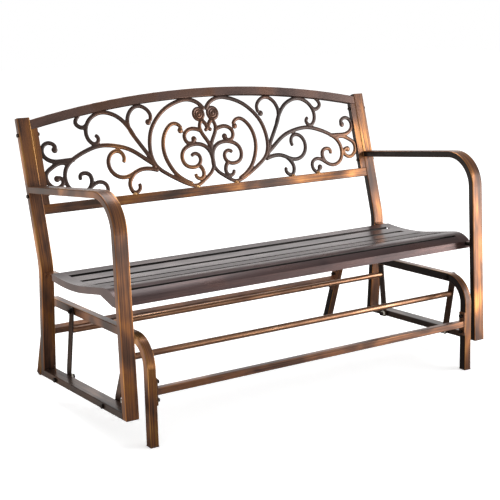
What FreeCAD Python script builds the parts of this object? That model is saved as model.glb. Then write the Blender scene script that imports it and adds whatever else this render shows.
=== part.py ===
import FreeCAD, Part
import math
import os
import re
import Sketcher

Vector = FreeCAD.Vector
Rotation = FreeCAD.Rotation
Placement = FreeCAD.Placement

# A glider bench: a standing base, two pairs of swing links, and a bench that hangs from them.
# It is drawn in the bench's level frame: X across, Y to the rear, Z up, zero at the front feet.
# The whole bench leans back a little on its feet, which the last section sets.

SIZES = {
    # Bench side frames, of flat oval tube
    "bench_half_width": 637,
    "frame_width": 40,
    "frame_depth": 20,
    "frame_corner": 3,
    "frame_wall": 1.5,
    "rail_bottom": 84.5,
    "rail_drop": 0.7,
    "leg_foot": 4,
    "leg_lean": 2.1,
    "arm_height": 635.5,
    "arm_rear": 474,
    "arm_slope": 4.7,
    "arm_bend": 97,
    "post_foot": 522,
    "post_lean": 4.8,
    "back_lean": 15,
    "knee_height": 410,
    "knee_bend": 200,
    "post_top": 828.5,
    "plug_flange": 2,
    "plug_depth": 15,
    "seat_gap": 0.3,
    # Standing base, of square tube
    "base_tube": 25,
    "base_corner": 2.5,
    "base_wall": 1.5,
    "base_front": -14.5,
    "base_rail_height": 285,
    "base_bend": 72,
    "base_rear_lean": 19.3,
    "rear_foot_reach": 696,
    "rear_foot_rise": 25.3,
    "glide_flange": 3.5,
    "glide_sole": 7,
    "front_bar_height": 149.5,
    "front_bar_tube": 20,
    "rear_bar_height": 174.5,
    "rear_bar_tube": 22,
    "end_plate": 3,
    "end_plate_length": 75,
    "end_plate_bolt_offset": 25,
    # Swing links
    "link_width": 24,
    "link_thickness": 4,
    "link_splay": 15.5,
    "link_straight": 18,
    "running_gap": 0.3,
    "front_pivot": 72,
    "front_link_foot": 127,
    "rear_pivot": 428,
    "rear_link_foot": 431,
    "bush_radius": 6,
    "bush_bore": 4.05,
    "rear_foot_bore": 5.2,
    "cross_tube_radius": 9,
    "cross_tube_wall": 1.5,
    "front_cross_drop": 63,
    "rear_cross_drop": 57,
    # Fasteners
    "pivot_radius": 4,
    "pivot_hole": 4.3,
    "pivot_head": 7.5,
    "pivot_head_height": 5.5,
    "pivot_nut_height": 6.5,
    "pivot_washer": 2.4,
    "pivot_collar": 6,
    "washer_radius": 8.5,
    "bolt_tip": 1,
    "bolt_radius": 3,
    "bolt_hole": 3.3,
    "bolt_head": 5.8,
    "bolt_head_height": 4.5,
    "crossbar_head_height": 9,
    "nut_height": 5,
    "thread_gap": 0.05,
    # Backrest, measured along its own plane from the lower bolts
    "back_bolt_height": 610.5,
    "back_bolt_pitch": 178.5,
    "back_rail_depth": 16,
    "back_rail_height": 28,
    "back_rail_wall": 1.5,
    "arch_rise": 283,
    "arch_drop": 62.5,
    "back_sill": -29,
    "back_rail_corner": 2,
    "side_bar": 20,
    "scroll_depth": 8,
    "strand_root": 7.2,
    "strand_tip": 6.2,
    "rosette_radius": 25,
    "rosette_at": 26,
    "rosette_height": 201,
    "bud_radius": 10.5,
    # Seat
    "seat_inset": 14,
    "seat_band": 36,
    "seat_sheet": 2,
    "seat_rear": 444,
    "seat_dip": 391.6,
    "seat_dip_at": 341,
    "seat_dip_radius": 790,
    "seat_slope_from": 254,
    "seat_slope": 8.3,
    "seat_crest_from": 118,
    "seat_crest_radius": 84,
    "seat_lip_at": 50,
    "seat_lip": 21,
    "seat_lip_lean": 9,
    "rear_slat_width": 34,
    "slat_gap": 21,
    "dip_slat_width": 50,
    "middle_slat_width": 63,
    "rise_slat_width": 84,
    "crest_gap": 14,
    "crest_slat_width": 56,
    "front_gap": 8,
    "slat_edge": 8,
    "side_skirt": 20,
    "strap_width": 25,
    "strap_thickness": 3,
    "strap_gap": 0.45,
    "bracket_thickness": 3,
    "bracket_width": 26,
    "bracket_height": 20,
    "bracket_lap": 25,
    "bracket_bolt_drop": 12,
    "front_bolt_inset": 14,
    "front_bolt_height": 389.2,
    "seat_spacer_radius": 6.5,
}

doc = FreeCAD.newDocument("GliderBench")
sheet = doc.addObject("Spreadsheet::Sheet", "Size")
for row, (word, value) in enumerate(SIZES.items(), start=1):
    sheet.set(f"A{row}", word)
    sheet.set(f"B{row}", str(value))
    sheet.setAlias(f"B{row}", word)
doc.recompute()

SIZE_WORDS = re.compile(r"\b(" + "|".join(SIZES) + r")\b")


def formula(text):
    """A formula in the words of the sheet, in the form that a size can be bound to."""
    return SIZE_WORDS.sub(r"Size.\1", str(text))


def number(text):
    """The value of such a formula, in millimetres or degrees."""
    return float(sheet.evalExpression(formula(text)))


# Bodies, sketches and features

parts = []


def sub_part(name, place=Placement()):
    """A sub-part made of features, in the level frame or in a local frame placed in it."""
    body = doc.addObject("PartDesign::Body", name)
    body.Label = name
    body.Placement = place
    parts.append(body)
    return body


def shaped_part(name, shape, place=Placement()):
    """A sub-part that is a group of loose solids or a casting."""
    feature = doc.addObject("Part::Feature", name)
    feature.Label = name
    feature.Shape = shape
    feature.Placement = place
    parts.append(feature)
    return feature


def sketch_on(body, role, offset="0"):
    """A sketch on one of the body's own planes, moved along that plane's normal."""
    sketch = body.newObject("Sketcher::SketchObject", body.Name + "_sketch")
    origin_plane = next(item for item in body.Origin.OriginFeatures if item.Role == role)
    sketch.AttachmentSupport = (origin_plane, "")
    sketch.MapMode = "FlatFace"
    sketch.setExpression("AttachmentOffset.Base.z", formula(offset))
    return sketch


def bind(sketch, kind, *arguments, to):
    """A dimension of the sketch, bound to a formula."""
    index = sketch.addConstraint(Sketcher.Constraint(kind, *arguments, number(to)))
    sketch.setExpression(f"Constraints[{index}]", formula(to))


def pin_point(sketch, edge, end, across, up):
    """Hold one point of an edge at a place measured from the sketch's origin."""
    bind(sketch, "DistanceX", -1, 1, edge, end, to=across)
    bind(sketch, "DistanceY", -1, 1, edge, end, to=up)


def arc_between(start, end, radius):
    """An arc that turns left from start to end, or right where the radius is negative."""
    if radius < 0:
        return arc_between(end, start, -radius)
    chord = end - start
    middle = (start + end) * 0.5
    rise = math.sqrt(max(radius ** 2 - chord.Length ** 2 / 4, 0))
    left = Vector(-chord.y, chord.x, 0).normalize()
    centre = middle + left * rise
    angles = [math.atan2((point - centre).y, (point - centre).x) for point in (start, end)]
    return Part.ArcOfCircle(Part.Circle(centre, Vector(0, 0, 1), radius), *angles)


def outline(sketch, corners):
    """A closed loop. A corner is (across, up), or (across, up, radius) to reach the next by an arc."""
    points = [Vector(number(corner[0]), number(corner[1]), 0) for corner in corners]
    edges = []
    for index, corner in enumerate(corners):
        start, end = points[index], points[(index + 1) % len(points)]
        if len(corner) == 2:
            edge = sketch.addGeometry(Part.LineSegment(start, end))
            ends = (1, 2)
        else:
            radius = number(corner[2])
            edge = sketch.addGeometry(arc_between(start, end, radius))
            ends = (1, 2) if radius > 0 else (2, 1)
            bind(sketch, "Radius", edge, to=corner[2].lstrip("-"))
        edges.append((edge, ends))
        pin_point(sketch, edge, ends[0], corner[0], corner[1])
    for index, (edge, ends) in enumerate(edges):
        following, following_ends = edges[(index + 1) % len(edges)]
        sketch.addConstraint(Sketcher.Constraint("Coincident", edge, ends[1], following, following_ends[0]))


def circle(sketch, across, up, radius):
    centre = Vector(number(across), number(up), 0)
    edge = sketch.addGeometry(Part.Circle(centre, Vector(0, 0, 1), number(radius)))
    pin_point(sketch, edge, 3, across, up)
    bind(sketch, "Radius", edge, to=radius)


def box(across, up, width, height):
    """Corners of a rectangle about a centre."""
    left, right = f"{across} - ({width}) / 2", f"{across} + ({width}) / 2"
    low, high = f"{up} - ({height}) / 2", f"{up} + ({height}) / 2"
    return [(left, low), (right, low), (right, high), (left, high)]


def rounded_box(across, up, width, height, corner):
    """Corners of a rectangle with rounded corners about a centre."""
    left, right = f"{across} - ({width}) / 2", f"{across} + ({width}) / 2"
    low, high = f"{up} - ({height}) / 2", f"{up} + ({height}) / 2"
    return [
        (f"{left} + {corner}", low), (f"{right} - {corner}", low, corner),
        (right, f"{low} + {corner}"), (right, f"{high} - {corner}", corner),
        (f"{right} - {corner}", high), (f"{left} + {corner}", high, corner),
        (left, f"{high} - {corner}"), (left, f"{low} + {corner}", corner),
    ]


def tube_section(sketch, across, up, width, height, corner, wall):
    """A rounded rectangular tube's section, with its bore."""
    outline(sketch, rounded_box(across, up, width, height, corner))
    outline(sketch, rounded_box(across, up, f"{width} - 2 * {wall}", f"{height} - 2 * {wall}",
                                f"({corner} - {wall})"))


def pad(body, sketch, length):
    """Add material on both sides of the sketch, in equal parts."""
    feature = body.newObject("PartDesign::Pad", body.Name + "_pad")
    feature.Profile = sketch
    feature.SideType = "Symmetric"
    feature.setExpression("Length", formula(length))
    return feature


def pocket(body, sketch, length):
    """Take material away on both sides of the sketch, in equal parts."""
    feature = body.newObject("PartDesign::Pocket", body.Name + "_pocket")
    feature.Profile = sketch
    feature.SideType = "Symmetric"
    feature.setExpression("Length", formula(length))
    return feature


def bent_path(sketch, corners, bends):
    """Straight runs through the corners, joined by tangent bends of the given radii."""
    points = [Vector(number(corner[0]), number(corner[1]), 0) for corner in corners]
    starts, ends = points[:-1], points[1:]
    arcs = []
    for index, bend in enumerate(bends):
        corner = points[index + 1]
        toward = (points[index] - corner).normalize()
        away = (points[index + 2] - corner).normalize()
        half = toward.getAngle(away) / 2
        radius = number(bend)
        reach = radius / math.tan(half)
        first, last = corner + toward * reach, corner + away * reach
        turns_left = toward.cross(away).z < 0
        arcs.append((arc_between(first, last, radius if turns_left else -radius), turns_left))
        ends[index], starts[index + 1] = first, last
    lines = [sketch.addGeometry(Part.LineSegment(start, end)) for start, end in zip(starts, ends)]
    for index, (arc, turns_left) in enumerate(arcs):
        edge = sketch.addGeometry(arc)
        first, last = (1, 2) if turns_left else (2, 1)
        sketch.addConstraint(Sketcher.Constraint("Tangent", lines[index], 2, edge, first))
        sketch.addConstraint(Sketcher.Constraint("Tangent", edge, last, lines[index + 1], 1))
        bind(sketch, "Radius", edge, to=bends[index])
        helper = sketch.addGeometry(Part.Point(points[index + 1]), True)
        pin_point(sketch, helper, 1, *corners[index + 1])
        sketch.addConstraint(Sketcher.Constraint("PointOnObject", helper, 1, lines[index]))
        sketch.addConstraint(Sketcher.Constraint("PointOnObject", helper, 1, lines[index + 1]))
    pin_point(sketch, lines[0], 1, *corners[0])
    pin_point(sketch, lines[-1], 2, *corners[-1])


def bent_tube(body, middle, corners, bends, lean, section):
    """A tube swept along a bent path in the plane X = middle, its first run leaning back by lean."""
    path = sketch_on(body, "YZ_Plane", middle)
    bent_path(path, corners, bends)
    profile = sketch_on(body, "XY_Plane")
    place = Vector(number(middle), number(corners[0][0]), number(corners[0][1]))
    profile.AttachmentOffset = Placement(place, Rotation(Vector(1, 0, 0), -number(lean)))
    for axis, value in zip("xyz", (middle, *corners[0])):
        profile.setExpression(f"AttachmentOffset.Base.{axis}", formula(value))
    tube_section(profile, "0", "0", *section)
    sweep = body.newObject("PartDesign::AdditivePipe", body.Name + "_sweep")
    sweep.Profile = profile
    sweep.Spine = path
    return sweep


def drill_across(body, middle, length, holes, radius):
    """Round holes along X, through the given length about the plane X = middle."""
    sketch = sketch_on(body, "YZ_Plane", middle)
    for across, up in holes:
        circle(sketch, across, up, radius)
    pocket(body, sketch, length)


def drill_along(body, middle, length, holes, radius):
    """Round holes along Y, through the given length about the plane Y = middle."""
    sketch = sketch_on(body, "XZ_Plane", f"-({middle})")
    for across, up in holes:
        circle(sketch, across, up, radius)
    pocket(body, sketch, length)


def trim(body, middle, corners, width="3 * frame_width"):
    """Cut away what lies inside a loop drawn in the plane X = middle."""
    sketch = sketch_on(body, "YZ_Plane", middle)
    outline(sketch, corners)
    pocket(body, sketch, width)


def ring(outer, inner, start, end):
    """A round sleeve along X."""
    length = end - start
    tube = Part.makeCylinder(outer, length, Vector(start, 0, 0), Vector(1, 0, 0))
    return tube.cut(Part.makeCylinder(inner, length, Vector(start, 0, 0), Vector(1, 0, 0)))


def hexagon(across_corners, start, end, bore=0):
    """A six-sided head or nut along X, with a bore where one is given."""
    corners = [Vector(start, across_corners * math.cos(step * math.pi / 3),
                      across_corners * math.sin(step * math.pi / 3)) for step in range(7)]
    solid = Part.Face(Part.makePolygon(corners)).extrude(Vector(end - start, 0, 0))
    return solid.cut(Part.makeCylinder(bore, end - start, Vector(start, 0, 0), Vector(1, 0, 0))) if bore else solid


def bolt(radius, head, head_height, seat, tip):
    """A hexagon bolt along X: its head seats at one place and its shank ends at the tip."""
    way = 1 if tip > seat else -1
    shank = Part.makeCylinder(radius, abs(tip - seat) + head_height / 2,
                              Vector(seat - way * head_height / 2, 0, 0), Vector(way, 0, 0))
    low, high = sorted((seat, seat - way * head_height))
    return hexagon(head, low, high).fuse(shank).removeSplitter()


def group(shapes):
    return Part.makeCompound(shapes)


def placed(shape, *steps):
    """A copy of the shape, carried through the placements from the last to the first."""
    total = Placement()
    for step in steps:
        total = total.multiply(step)
    copy = shape.copy()
    copy.Placement = total.multiply(copy.Placement)
    return copy


def at(across, along, up, lean=0.0):
    """A placement at a point, turned about X so that its upright leans forward by lean."""
    return Placement(Vector(across, along, up), Rotation(Vector(1, 0, 0), lean))


FACE_RIGHT = Placement()
FACE_LEFT = Placement(Vector(), Rotation(Vector(0, 0, 1), 180))
TURN_TO_Y = Placement(Vector(), Rotation(Vector(0, 0, 1), 90))
SIDES = (("left", -1), ("right", 1))

# Named places, as formulas of the sizes

FRAME_MIDDLE = "(bench_half_width - frame_width / 2)"
FRAME_INNER = "(bench_half_width - frame_width)"
LOWER_LINK = "(bench_half_width - frame_width - pivot_washer - running_gap - link_thickness / 2)"
UPPER_LINK = "(" + LOWER_LINK + " - link_splay)"
BASE_OUTER = "(" + UPPER_LINK + " - link_thickness / 2 - running_gap - pivot_washer)"
BASE_MIDDLE = "(" + BASE_OUTER + " - base_tube / 2)"
BASE_INNER = "(" + BASE_OUTER + " - base_tube)"
RAIL_AXIS = "(rail_bottom + frame_depth / 2 - tan(rail_drop) * (({along}) - leg_foot))"
FRONT_FOOT_UP = RAIL_AXIS.format(along="front_link_foot")
REAR_FOOT_UP = RAIL_AXIS.format(along="rear_link_foot")
POST_BOTTOM = "(rail_bottom - tan(rail_drop) * (post_foot - leg_foot))"
LEG_AXIS = "(leg_foot + tan(leg_lean) * (({height}) - rail_bottom))"
LEG_REAR = "(" + LEG_AXIS + " + frame_depth / 2 / cos(leg_lean))"
LOW_POST_AXIS = "(post_foot - tan(post_lean) * (({height}) - rail_bottom))"
LOW_POST_FRONT = "(" + LOW_POST_AXIS + " - frame_depth / 2 / cos(post_lean))"
KNEE_AT = LOW_POST_AXIS.format(height="knee_height")
POST_AXIS = "(" + KNEE_AT + " + tan(back_lean) * (({height}) - knee_height))"
POST_FRONT = "(" + POST_AXIS + " - frame_depth / 2 / cos(back_lean))"
ARM_CORNER_UP = ("((arm_height + tan(arm_slope) * (arm_rear - leg_foot + tan(leg_lean) * rail_bottom))"
                 " / (1 + tan(arm_slope) * tan(leg_lean)))")
ARM_CORNER_AT = LEG_AXIS.format(height=ARM_CORNER_UP)
ARM_END_AT = POST_AXIS.format(height="(arm_height + frame_depth)")
REAR_END_AT = "(rear_foot_reach + base_tube / 2 * cos(base_rear_lean) - glide_flange * sin(base_rear_lean))"
REAR_END_UP = "(rear_foot_rise + base_tube / 2 * sin(base_rear_lean) + glide_flange * cos(base_rear_lean))"
REAR_LEG_AXIS = "(" + REAR_END_AT + " - tan(base_rear_lean) * (({height}) - " + REAR_END_UP + "))"
BASE_AXIS = "(base_front + base_tube / 2)"
OVERLONG = 30

# The seat's curve: a shallow dip at the rear, a straight rise and a rolled crest with a lip

SEAT_HALF = "(bench_half_width - seat_inset)"
FRONT_BOLT_AT = "(bench_half_width - seat_inset - front_bolt_inset)"
SEAT_SLOPE_UP = "(seat_dip + (seat_slope_from - seat_dip_at)^2 / (2 * seat_dip_radius))"
SEAT_CREST_UP = "(" + SEAT_SLOPE_UP + " + tan(seat_slope) * (seat_slope_from - seat_crest_from))"
CREST_CENTRE_AT = "(seat_crest_from - seat_crest_radius * sin(seat_slope))"
CREST_CENTRE_UP = "(" + SEAT_CREST_UP + " - seat_crest_radius * cos(seat_slope))"


def seat_top(along):
    """Height of the seat's upper face: in the dip, on the straight rise or on the crest's arc."""
    if number(along) >= number("seat_slope_from"):
        return f"(seat_dip + (({along}) - seat_dip_at)^2 / (2 * seat_dip_radius))"
    if number(along) >= number("seat_crest_from"):
        return f"({SEAT_SLOPE_UP} + tan(seat_slope) * (seat_slope_from - ({along})))"
    return f"({CREST_CENTRE_UP} + sqrt(seat_crest_radius^2 - (({along}) - {CREST_CENTRE_AT})^2))"


SEAT_CREASE = seat_top("seat_lip_at")
LIP_FOOT = ("(seat_lip_at - seat_lip * tan(seat_lip_lean))", f"({SEAT_CREASE} - seat_lip)")
BRACKET_TOP = f"({seat_top('seat_rear')} - seat_sheet - seat_gap)"
BRACKET_BOLT_UP = f"({BRACKET_TOP} - bracket_bolt_drop)"


front_link_lean = math.degrees(math.atan2(number("front_link_foot - front_pivot"),
                                          number(f"base_rail_height - {FRONT_FOOT_UP}")))
rear_link_lean = math.degrees(math.atan2(number("rear_link_foot - rear_pivot"),
                                         number(f"base_rail_height - {REAR_FOOT_UP}")))
back_frame = at(0, number(POST_AXIS.format(height="back_bolt_height")), number("back_bolt_height"),
                -number("back_lean"))
front_bar_frame = at(0, number(BASE_AXIS), number("front_bar_height"))
rear_bar_frame = at(0, number(REAR_LEG_AXIS.format(height="rear_bar_height")), number("rear_bar_height"),
                    number("base_rear_lean"))
frame_section = ("frame_width", "frame_depth", "frame_corner", "frame_wall")
base_section = ("base_tube", "base_tube", "base_corner", "base_wall")

# Standing base: two bent side tubes, two crossbars with welded end plates, four feet


def base_side(name, side):
    """One bent square tube: front leg, level rail and leaning rear leg."""
    body = sub_part(name)
    middle = f"{side} * {BASE_MIDDLE}"
    corners = [
        (BASE_AXIS, "glide_flange"),
        (BASE_AXIS, "base_rail_height"),
        (REAR_LEG_AXIS.format(height="base_rail_height"), "base_rail_height"),
        (REAR_END_AT, REAR_END_UP),
    ]
    bent_tube(body, middle, corners, ["base_bend", "base_bend"], "0", base_section)
    drill_across(body, middle, "2 * base_tube",
                 [("front_pivot", "base_rail_height"), ("rear_pivot", "base_rail_height")], "pivot_hole")
    rear_bar_at = REAR_LEG_AXIS.format(height="rear_bar_height")
    inner_holes = [
        (BASE_AXIS, "front_bar_height - end_plate_bolt_offset"),
        (BASE_AXIS, "front_bar_height + end_plate_bolt_offset"),
        (f"{rear_bar_at} + end_plate_bolt_offset * sin(base_rear_lean)",
         "rear_bar_height - end_plate_bolt_offset * cos(base_rear_lean)"),
        (f"{rear_bar_at} - end_plate_bolt_offset * sin(base_rear_lean)",
         "rear_bar_height + end_plate_bolt_offset * cos(base_rear_lean)"),
    ]
    drill_across(body, f"{side} * {BASE_INNER}", "4 * base_wall", inner_holes, "bolt_hole")


def crossbar(name, place, side):
    """A square tube of the given side, between the end plates."""
    body = sub_part(name, place)
    sketch = sketch_on(body, "YZ_Plane")
    tube_section(sketch, "0", "0", side, side, "base_corner", "base_wall")
    pad(body, sketch, f"2 * ({BASE_INNER} - end_plate)")


def end_plates(name, place):
    """Two flat plates, welded to the crossbar's ends and bolted to the legs."""
    body = sub_part(name, place)
    body.AllowCompound = True
    for _, side in SIDES:
        sketch = sketch_on(body, "YZ_Plane", f"{side} * ({BASE_INNER} - end_plate / 2)")
        outline(sketch, rounded_box("0", "0", "base_tube", "end_plate_length", "base_corner"))
        circle(sketch, "0", "end_plate_bolt_offset", "bolt_hole")
        circle(sketch, "0", "-end_plate_bolt_offset", "bolt_hole")
        pad(body, sketch, "end_plate")


def front_glides():
    """Plastic feet of the front legs: a plug in the tube and a sole that lies on the floor."""
    body = sub_part("base_front_glides", at(0, number("base_front"), 0))
    body.AllowCompound = True
    slope = "rear_foot_rise / (rear_foot_reach - base_front)"
    for _, side in SIDES:
        foot = sketch_on(body, "YZ_Plane", f"{side} * {BASE_MIDDLE}")
        outline(foot, [("0", "0"), ("base_tube", f"base_tube * {slope}"),
                       ("base_tube", "glide_flange"), ("0", "glide_flange")])
        pad(body, foot, "base_tube")
        glide_plug(body, side)


def glide_plug(body, side):
    """The part of a foot that fills the end of its tube."""
    plug = sketch_on(body, "YZ_Plane", f"{side} * {BASE_MIDDLE}")
    width = "(base_tube - 2 * base_wall - 2 * seat_gap)"
    outline(plug, box("base_tube / 2", "glide_flange + plug_depth / 2", width, "plug_depth"))
    pad(body, plug, width)


def rear_glides():
    """Plastic feet of the rear legs, square to the leg, with a narrow flat sole at the front edge."""
    place = at(0, number("rear_foot_reach"), number("rear_foot_rise"), number("base_rear_lean"))
    body = sub_part("base_rear_glides", place)
    body.AllowCompound = True
    tilt = "(base_rear_lean * 1 deg - atan(rear_foot_rise / (rear_foot_reach - base_front)))"
    for _, side in SIDES:
        foot = sketch_on(body, "YZ_Plane", f"{side} * {BASE_MIDDLE}")
        outline(foot, [("0", "0"), ("glide_sole", f"-glide_sole * tan{tilt}"),
                       ("base_tube", f"-glide_sole * tan{tilt}"),
                       ("base_tube", "glide_flange"), ("0", "glide_flange")])
        pad(body, foot, "base_tube")
        glide_plug(body, side)


def crossbar_fasteners():
    """Bolts through the end plates into nuts welded inside the legs."""
    seat = number(f"{BASE_INNER} - end_plate")
    nut_from = number(f"{BASE_INNER} + base_wall")
    nut_to = nut_from + number("nut_height")
    one_bolt = bolt(number("bolt_radius"), number("bolt_head"), number("crossbar_head_height"), seat, nut_to)
    one_nut = hexagon(number("bolt_head"), nut_from, nut_to, number("bolt_radius + thread_gap"))
    offset = number("end_plate_bolt_offset")
    spots = [(frame, facing, height) for frame in (front_bar_frame, rear_bar_frame)
             for facing in (FACE_LEFT, FACE_RIGHT) for height in (-offset, offset)]
    shaped_part("base_crossbar_bolts", group([placed(one_bolt, frame, at(0, 0, height), facing)
                                              for frame, facing, height in spots]))
    shaped_part("base_crossbar_nuts", group([placed(one_nut, frame, at(0, 0, height), facing)
                                             for frame, facing, height in spots]))


for side_name, side_sign in SIDES:
    base_side(f"base_side_{side_name}", side_sign)
crossbar("base_front_crossbar", front_bar_frame, "front_bar_tube")
crossbar("base_rear_crossbar", rear_bar_frame, "rear_bar_tube")
end_plates("base_front_end_plates", front_bar_frame)
end_plates("base_rear_end_plates", rear_bar_frame)
front_glides()
rear_glides()
crossbar_fasteners()

# Pivots: bolts through the base rails above, and through the bench's bottom rails below


def pivot_places(*pins):
    """A placement on each side of the bench for each pin, which is given as (along, up)."""
    return [(at(0, number(along), number(up)), facing) for along, up in pins for facing in (FACE_LEFT, FACE_RIGHT)]


def pivot_row(name, shape, spots):
    """One shape, drawn for the right side along X, at each pivot of a row."""
    shaped_part(name, group([placed(shape, place, facing) for place, facing in spots]))


def pivot_bolt(seat, tip):
    return bolt(number("pivot_radius"), number("pivot_head"), number("pivot_head_height"), number(seat), number(tip))


def pivot_nut(start):
    """A nut along X that starts at one place and grows outward."""
    return hexagon(number("pivot_head"), number(start), number(f"{start} + pivot_nut_height"),
                   number("pivot_radius + thread_gap"))


def pivot_sleeve(start, length):
    return ring(number("washer_radius"), number("pivot_hole"), number(start), number(f"{start} + {length}"))


upper_spots = pivot_places(("front_pivot", "base_rail_height"), ("rear_pivot", "base_rail_height"))
upper_nut_at = f"({UPPER_LINK} + link_thickness / 2 + running_gap)"
pivot_row("upper_pivot_bolts", pivot_bolt(BASE_INNER, f"{upper_nut_at} + pivot_nut_height + bolt_tip"), upper_spots)
pivot_row("upper_pivot_spacers", pivot_sleeve(BASE_OUTER, "pivot_washer"), upper_spots)
pivot_row("upper_pivot_nuts", pivot_nut(upper_nut_at), upper_spots)

lower_spots = pivot_places(("front_link_foot", FRONT_FOOT_UP), ("rear_link_foot", REAR_FOOT_UP))
collar_at = f"({LOWER_LINK} - link_thickness / 2 - running_gap - pivot_collar)"
lower_nut_at = f"({collar_at} - pivot_nut_height)"
pivot_row("lower_pivot_bolts", pivot_bolt("bench_half_width", f"{lower_nut_at} - bolt_tip"), lower_spots)
pivot_row("lower_pivot_spacers", pivot_sleeve(f"({FRAME_INNER} - pivot_washer)", "pivot_washer"), lower_spots)
pivot_row("lower_pivot_collars", pivot_sleeve(collar_at, "pivot_collar"), lower_spots)
pivot_row("lower_pivot_nuts", pivot_nut(lower_nut_at), lower_spots)

# Swing links: two joggled flat bars and a cross tube in each pair, with a bush at each pivot


def slot(sketch, length, radius):
    """A loop with round ends, about the origin and a point below it."""
    width, reach = number(radius), number(length)
    top = sketch.addGeometry(Part.ArcOfCircle(Part.Circle(Vector(), Vector(0, 0, 1), width), 0, math.pi))
    foot = sketch.addGeometry(Part.ArcOfCircle(
        Part.Circle(Vector(0, -reach, 0), Vector(0, 0, 1), width), math.pi, 2 * math.pi))
    left = sketch.addGeometry(Part.LineSegment(Vector(-width, 0, 0), Vector(-width, -reach, 0)))
    right = sketch.addGeometry(Part.LineSegment(Vector(width, -reach, 0), Vector(width, 0, 0)))
    for first, first_end, second, second_end in ((top, 2, left, 1), (left, 2, foot, 1),
                                                 (foot, 2, right, 1), (right, 2, top, 1)):
        sketch.addConstraint(Sketcher.Constraint("Tangent", first, first_end, second, second_end))
    pin_point(sketch, top, 3, "0", "0")
    pin_point(sketch, foot, 3, "0", f"-({length})")
    bind(sketch, "Radius", top, to=radius)


def link_face(side, length, offset):
    """The line of a link's face seen from the front: upright at both ends, splayed between them."""
    upper, lower = f"{side} * ({UPPER_LINK} + {offset})", f"{side} * ({LOWER_LINK} + {offset})"
    return [(upper, "link_width"), (upper, "-link_straight"),
            (lower, f"-({length} - link_straight)"), (lower, f"-({length} + link_width)")]


def cut_beyond(body, line, across):
    """Cut away what lies between a line seen from the front and a place across."""
    sketch = sketch_on(body, "XZ_Plane")
    outline(sketch, line + [(across, line[-1][1]), (across, line[0][1])])
    pocket(body, sketch, "4 * link_width")


def swing(row, pivot, foot, foot_up, lean, cross_drop, foot_bore):
    """One pair of links, drawn hanging from its upper pivots and then leaned to its rest angle."""
    place = at(0, number(pivot), number("base_rail_height"), lean)
    length = f"sqrt(({foot} - {pivot})^2 + (base_rail_height - {foot_up})^2)"
    for name, side in SIDES:
        body = sub_part(f"{row}_link_{name}", place)
        sketch = sketch_on(body, "YZ_Plane", f"{side} * ({UPPER_LINK} + {LOWER_LINK}) / 2")
        slot(sketch, length, "link_width / 2")
        circle(sketch, "0", "0", "bush_radius")
        circle(sketch, "0", f"-({length})", "bush_radius")
        pad(body, sketch, "link_thickness + link_splay")
        cut_beyond(body, link_face(side, length, "link_thickness / 2"), f"{side} * bench_half_width")
        cut_beyond(body, link_face(side, length, "-link_thickness / 2"), f"{side} * {BASE_INNER}")
    tube = sub_part(f"{row}_cross_tube", place)
    section = sketch_on(tube, "YZ_Plane")
    circle(section, "0", f"-{cross_drop}", "cross_tube_radius")
    circle(section, "0", f"-{cross_drop}", "cross_tube_radius - cross_tube_wall")
    pad(tube, section, f"2 * {LOWER_LINK}")
    for _, side in SIDES:
        cut_beyond(tube, link_face(side, length, "-link_thickness / 2"), f"{side} * bench_half_width")
    for end, middle, height, bore in (("upper", UPPER_LINK, "0", "bush_bore"),
                                      ("lower", LOWER_LINK, f"-({length})", foot_bore)):
        body = sub_part(f"{row}_{end}_bushes", place)
        body.AllowCompound = True
        for _, side in SIDES:
            sketch = sketch_on(body, "YZ_Plane", f"{side} * {middle}")
            circle(sketch, "0", height, "bush_radius")
            circle(sketch, "0", height, bore)
            pad(body, sketch, "link_thickness")


swing("front", "front_pivot", "front_link_foot", FRONT_FOOT_UP, front_link_lean, "front_cross_drop", "bush_bore")
swing("rear", "rear_pivot", "rear_link_foot", REAR_FOOT_UP, rear_link_lean, "rear_cross_drop", "rear_foot_bore")

# Bench side frames: a leg and arm of one bent tube, a back post, and a rail between their feet


def arm_and_leg(name, side):
    """One bent tube: the front leg, the curve over the front and the arm back to the post."""
    body = sub_part(name)
    middle = f"{side} * {FRAME_MIDDLE}"
    foot = "(rail_bottom - frame_depth)"
    corners = [
        (LEG_AXIS.format(height=foot), foot),
        (ARM_CORNER_AT, ARM_CORNER_UP),
        (ARM_END_AT, f"(arm_height - tan(arm_slope) * ({ARM_END_AT} - arm_rear))"),
    ]
    bent_tube(body, middle, corners, ["arm_bend"], "leg_lean", frame_section)
    cut_level = "(rail_bottom + plug_flange)"
    trim(body, middle, box("leg_foot", f"{cut_level} - frame_depth * 2", "4 * frame_depth", "4 * frame_depth"))
    low, high = "(arm_height - 3 * frame_depth)", "(arm_height + 3 * frame_depth)"
    trim(body, middle, [
        (POST_FRONT.format(height=low), low),
        (POST_FRONT.format(height=low) + " + 4 * frame_width", low),
        (POST_FRONT.format(height=high) + " + 4 * frame_width", high),
        (POST_FRONT.format(height=high), high),
    ])
    drill_along(body, LEG_REAR.format(height="front_bolt_height"), "6 * frame_wall",
                [(f"{side} * {FRONT_BOLT_AT}", "front_bolt_height")], "bolt_hole")


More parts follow.
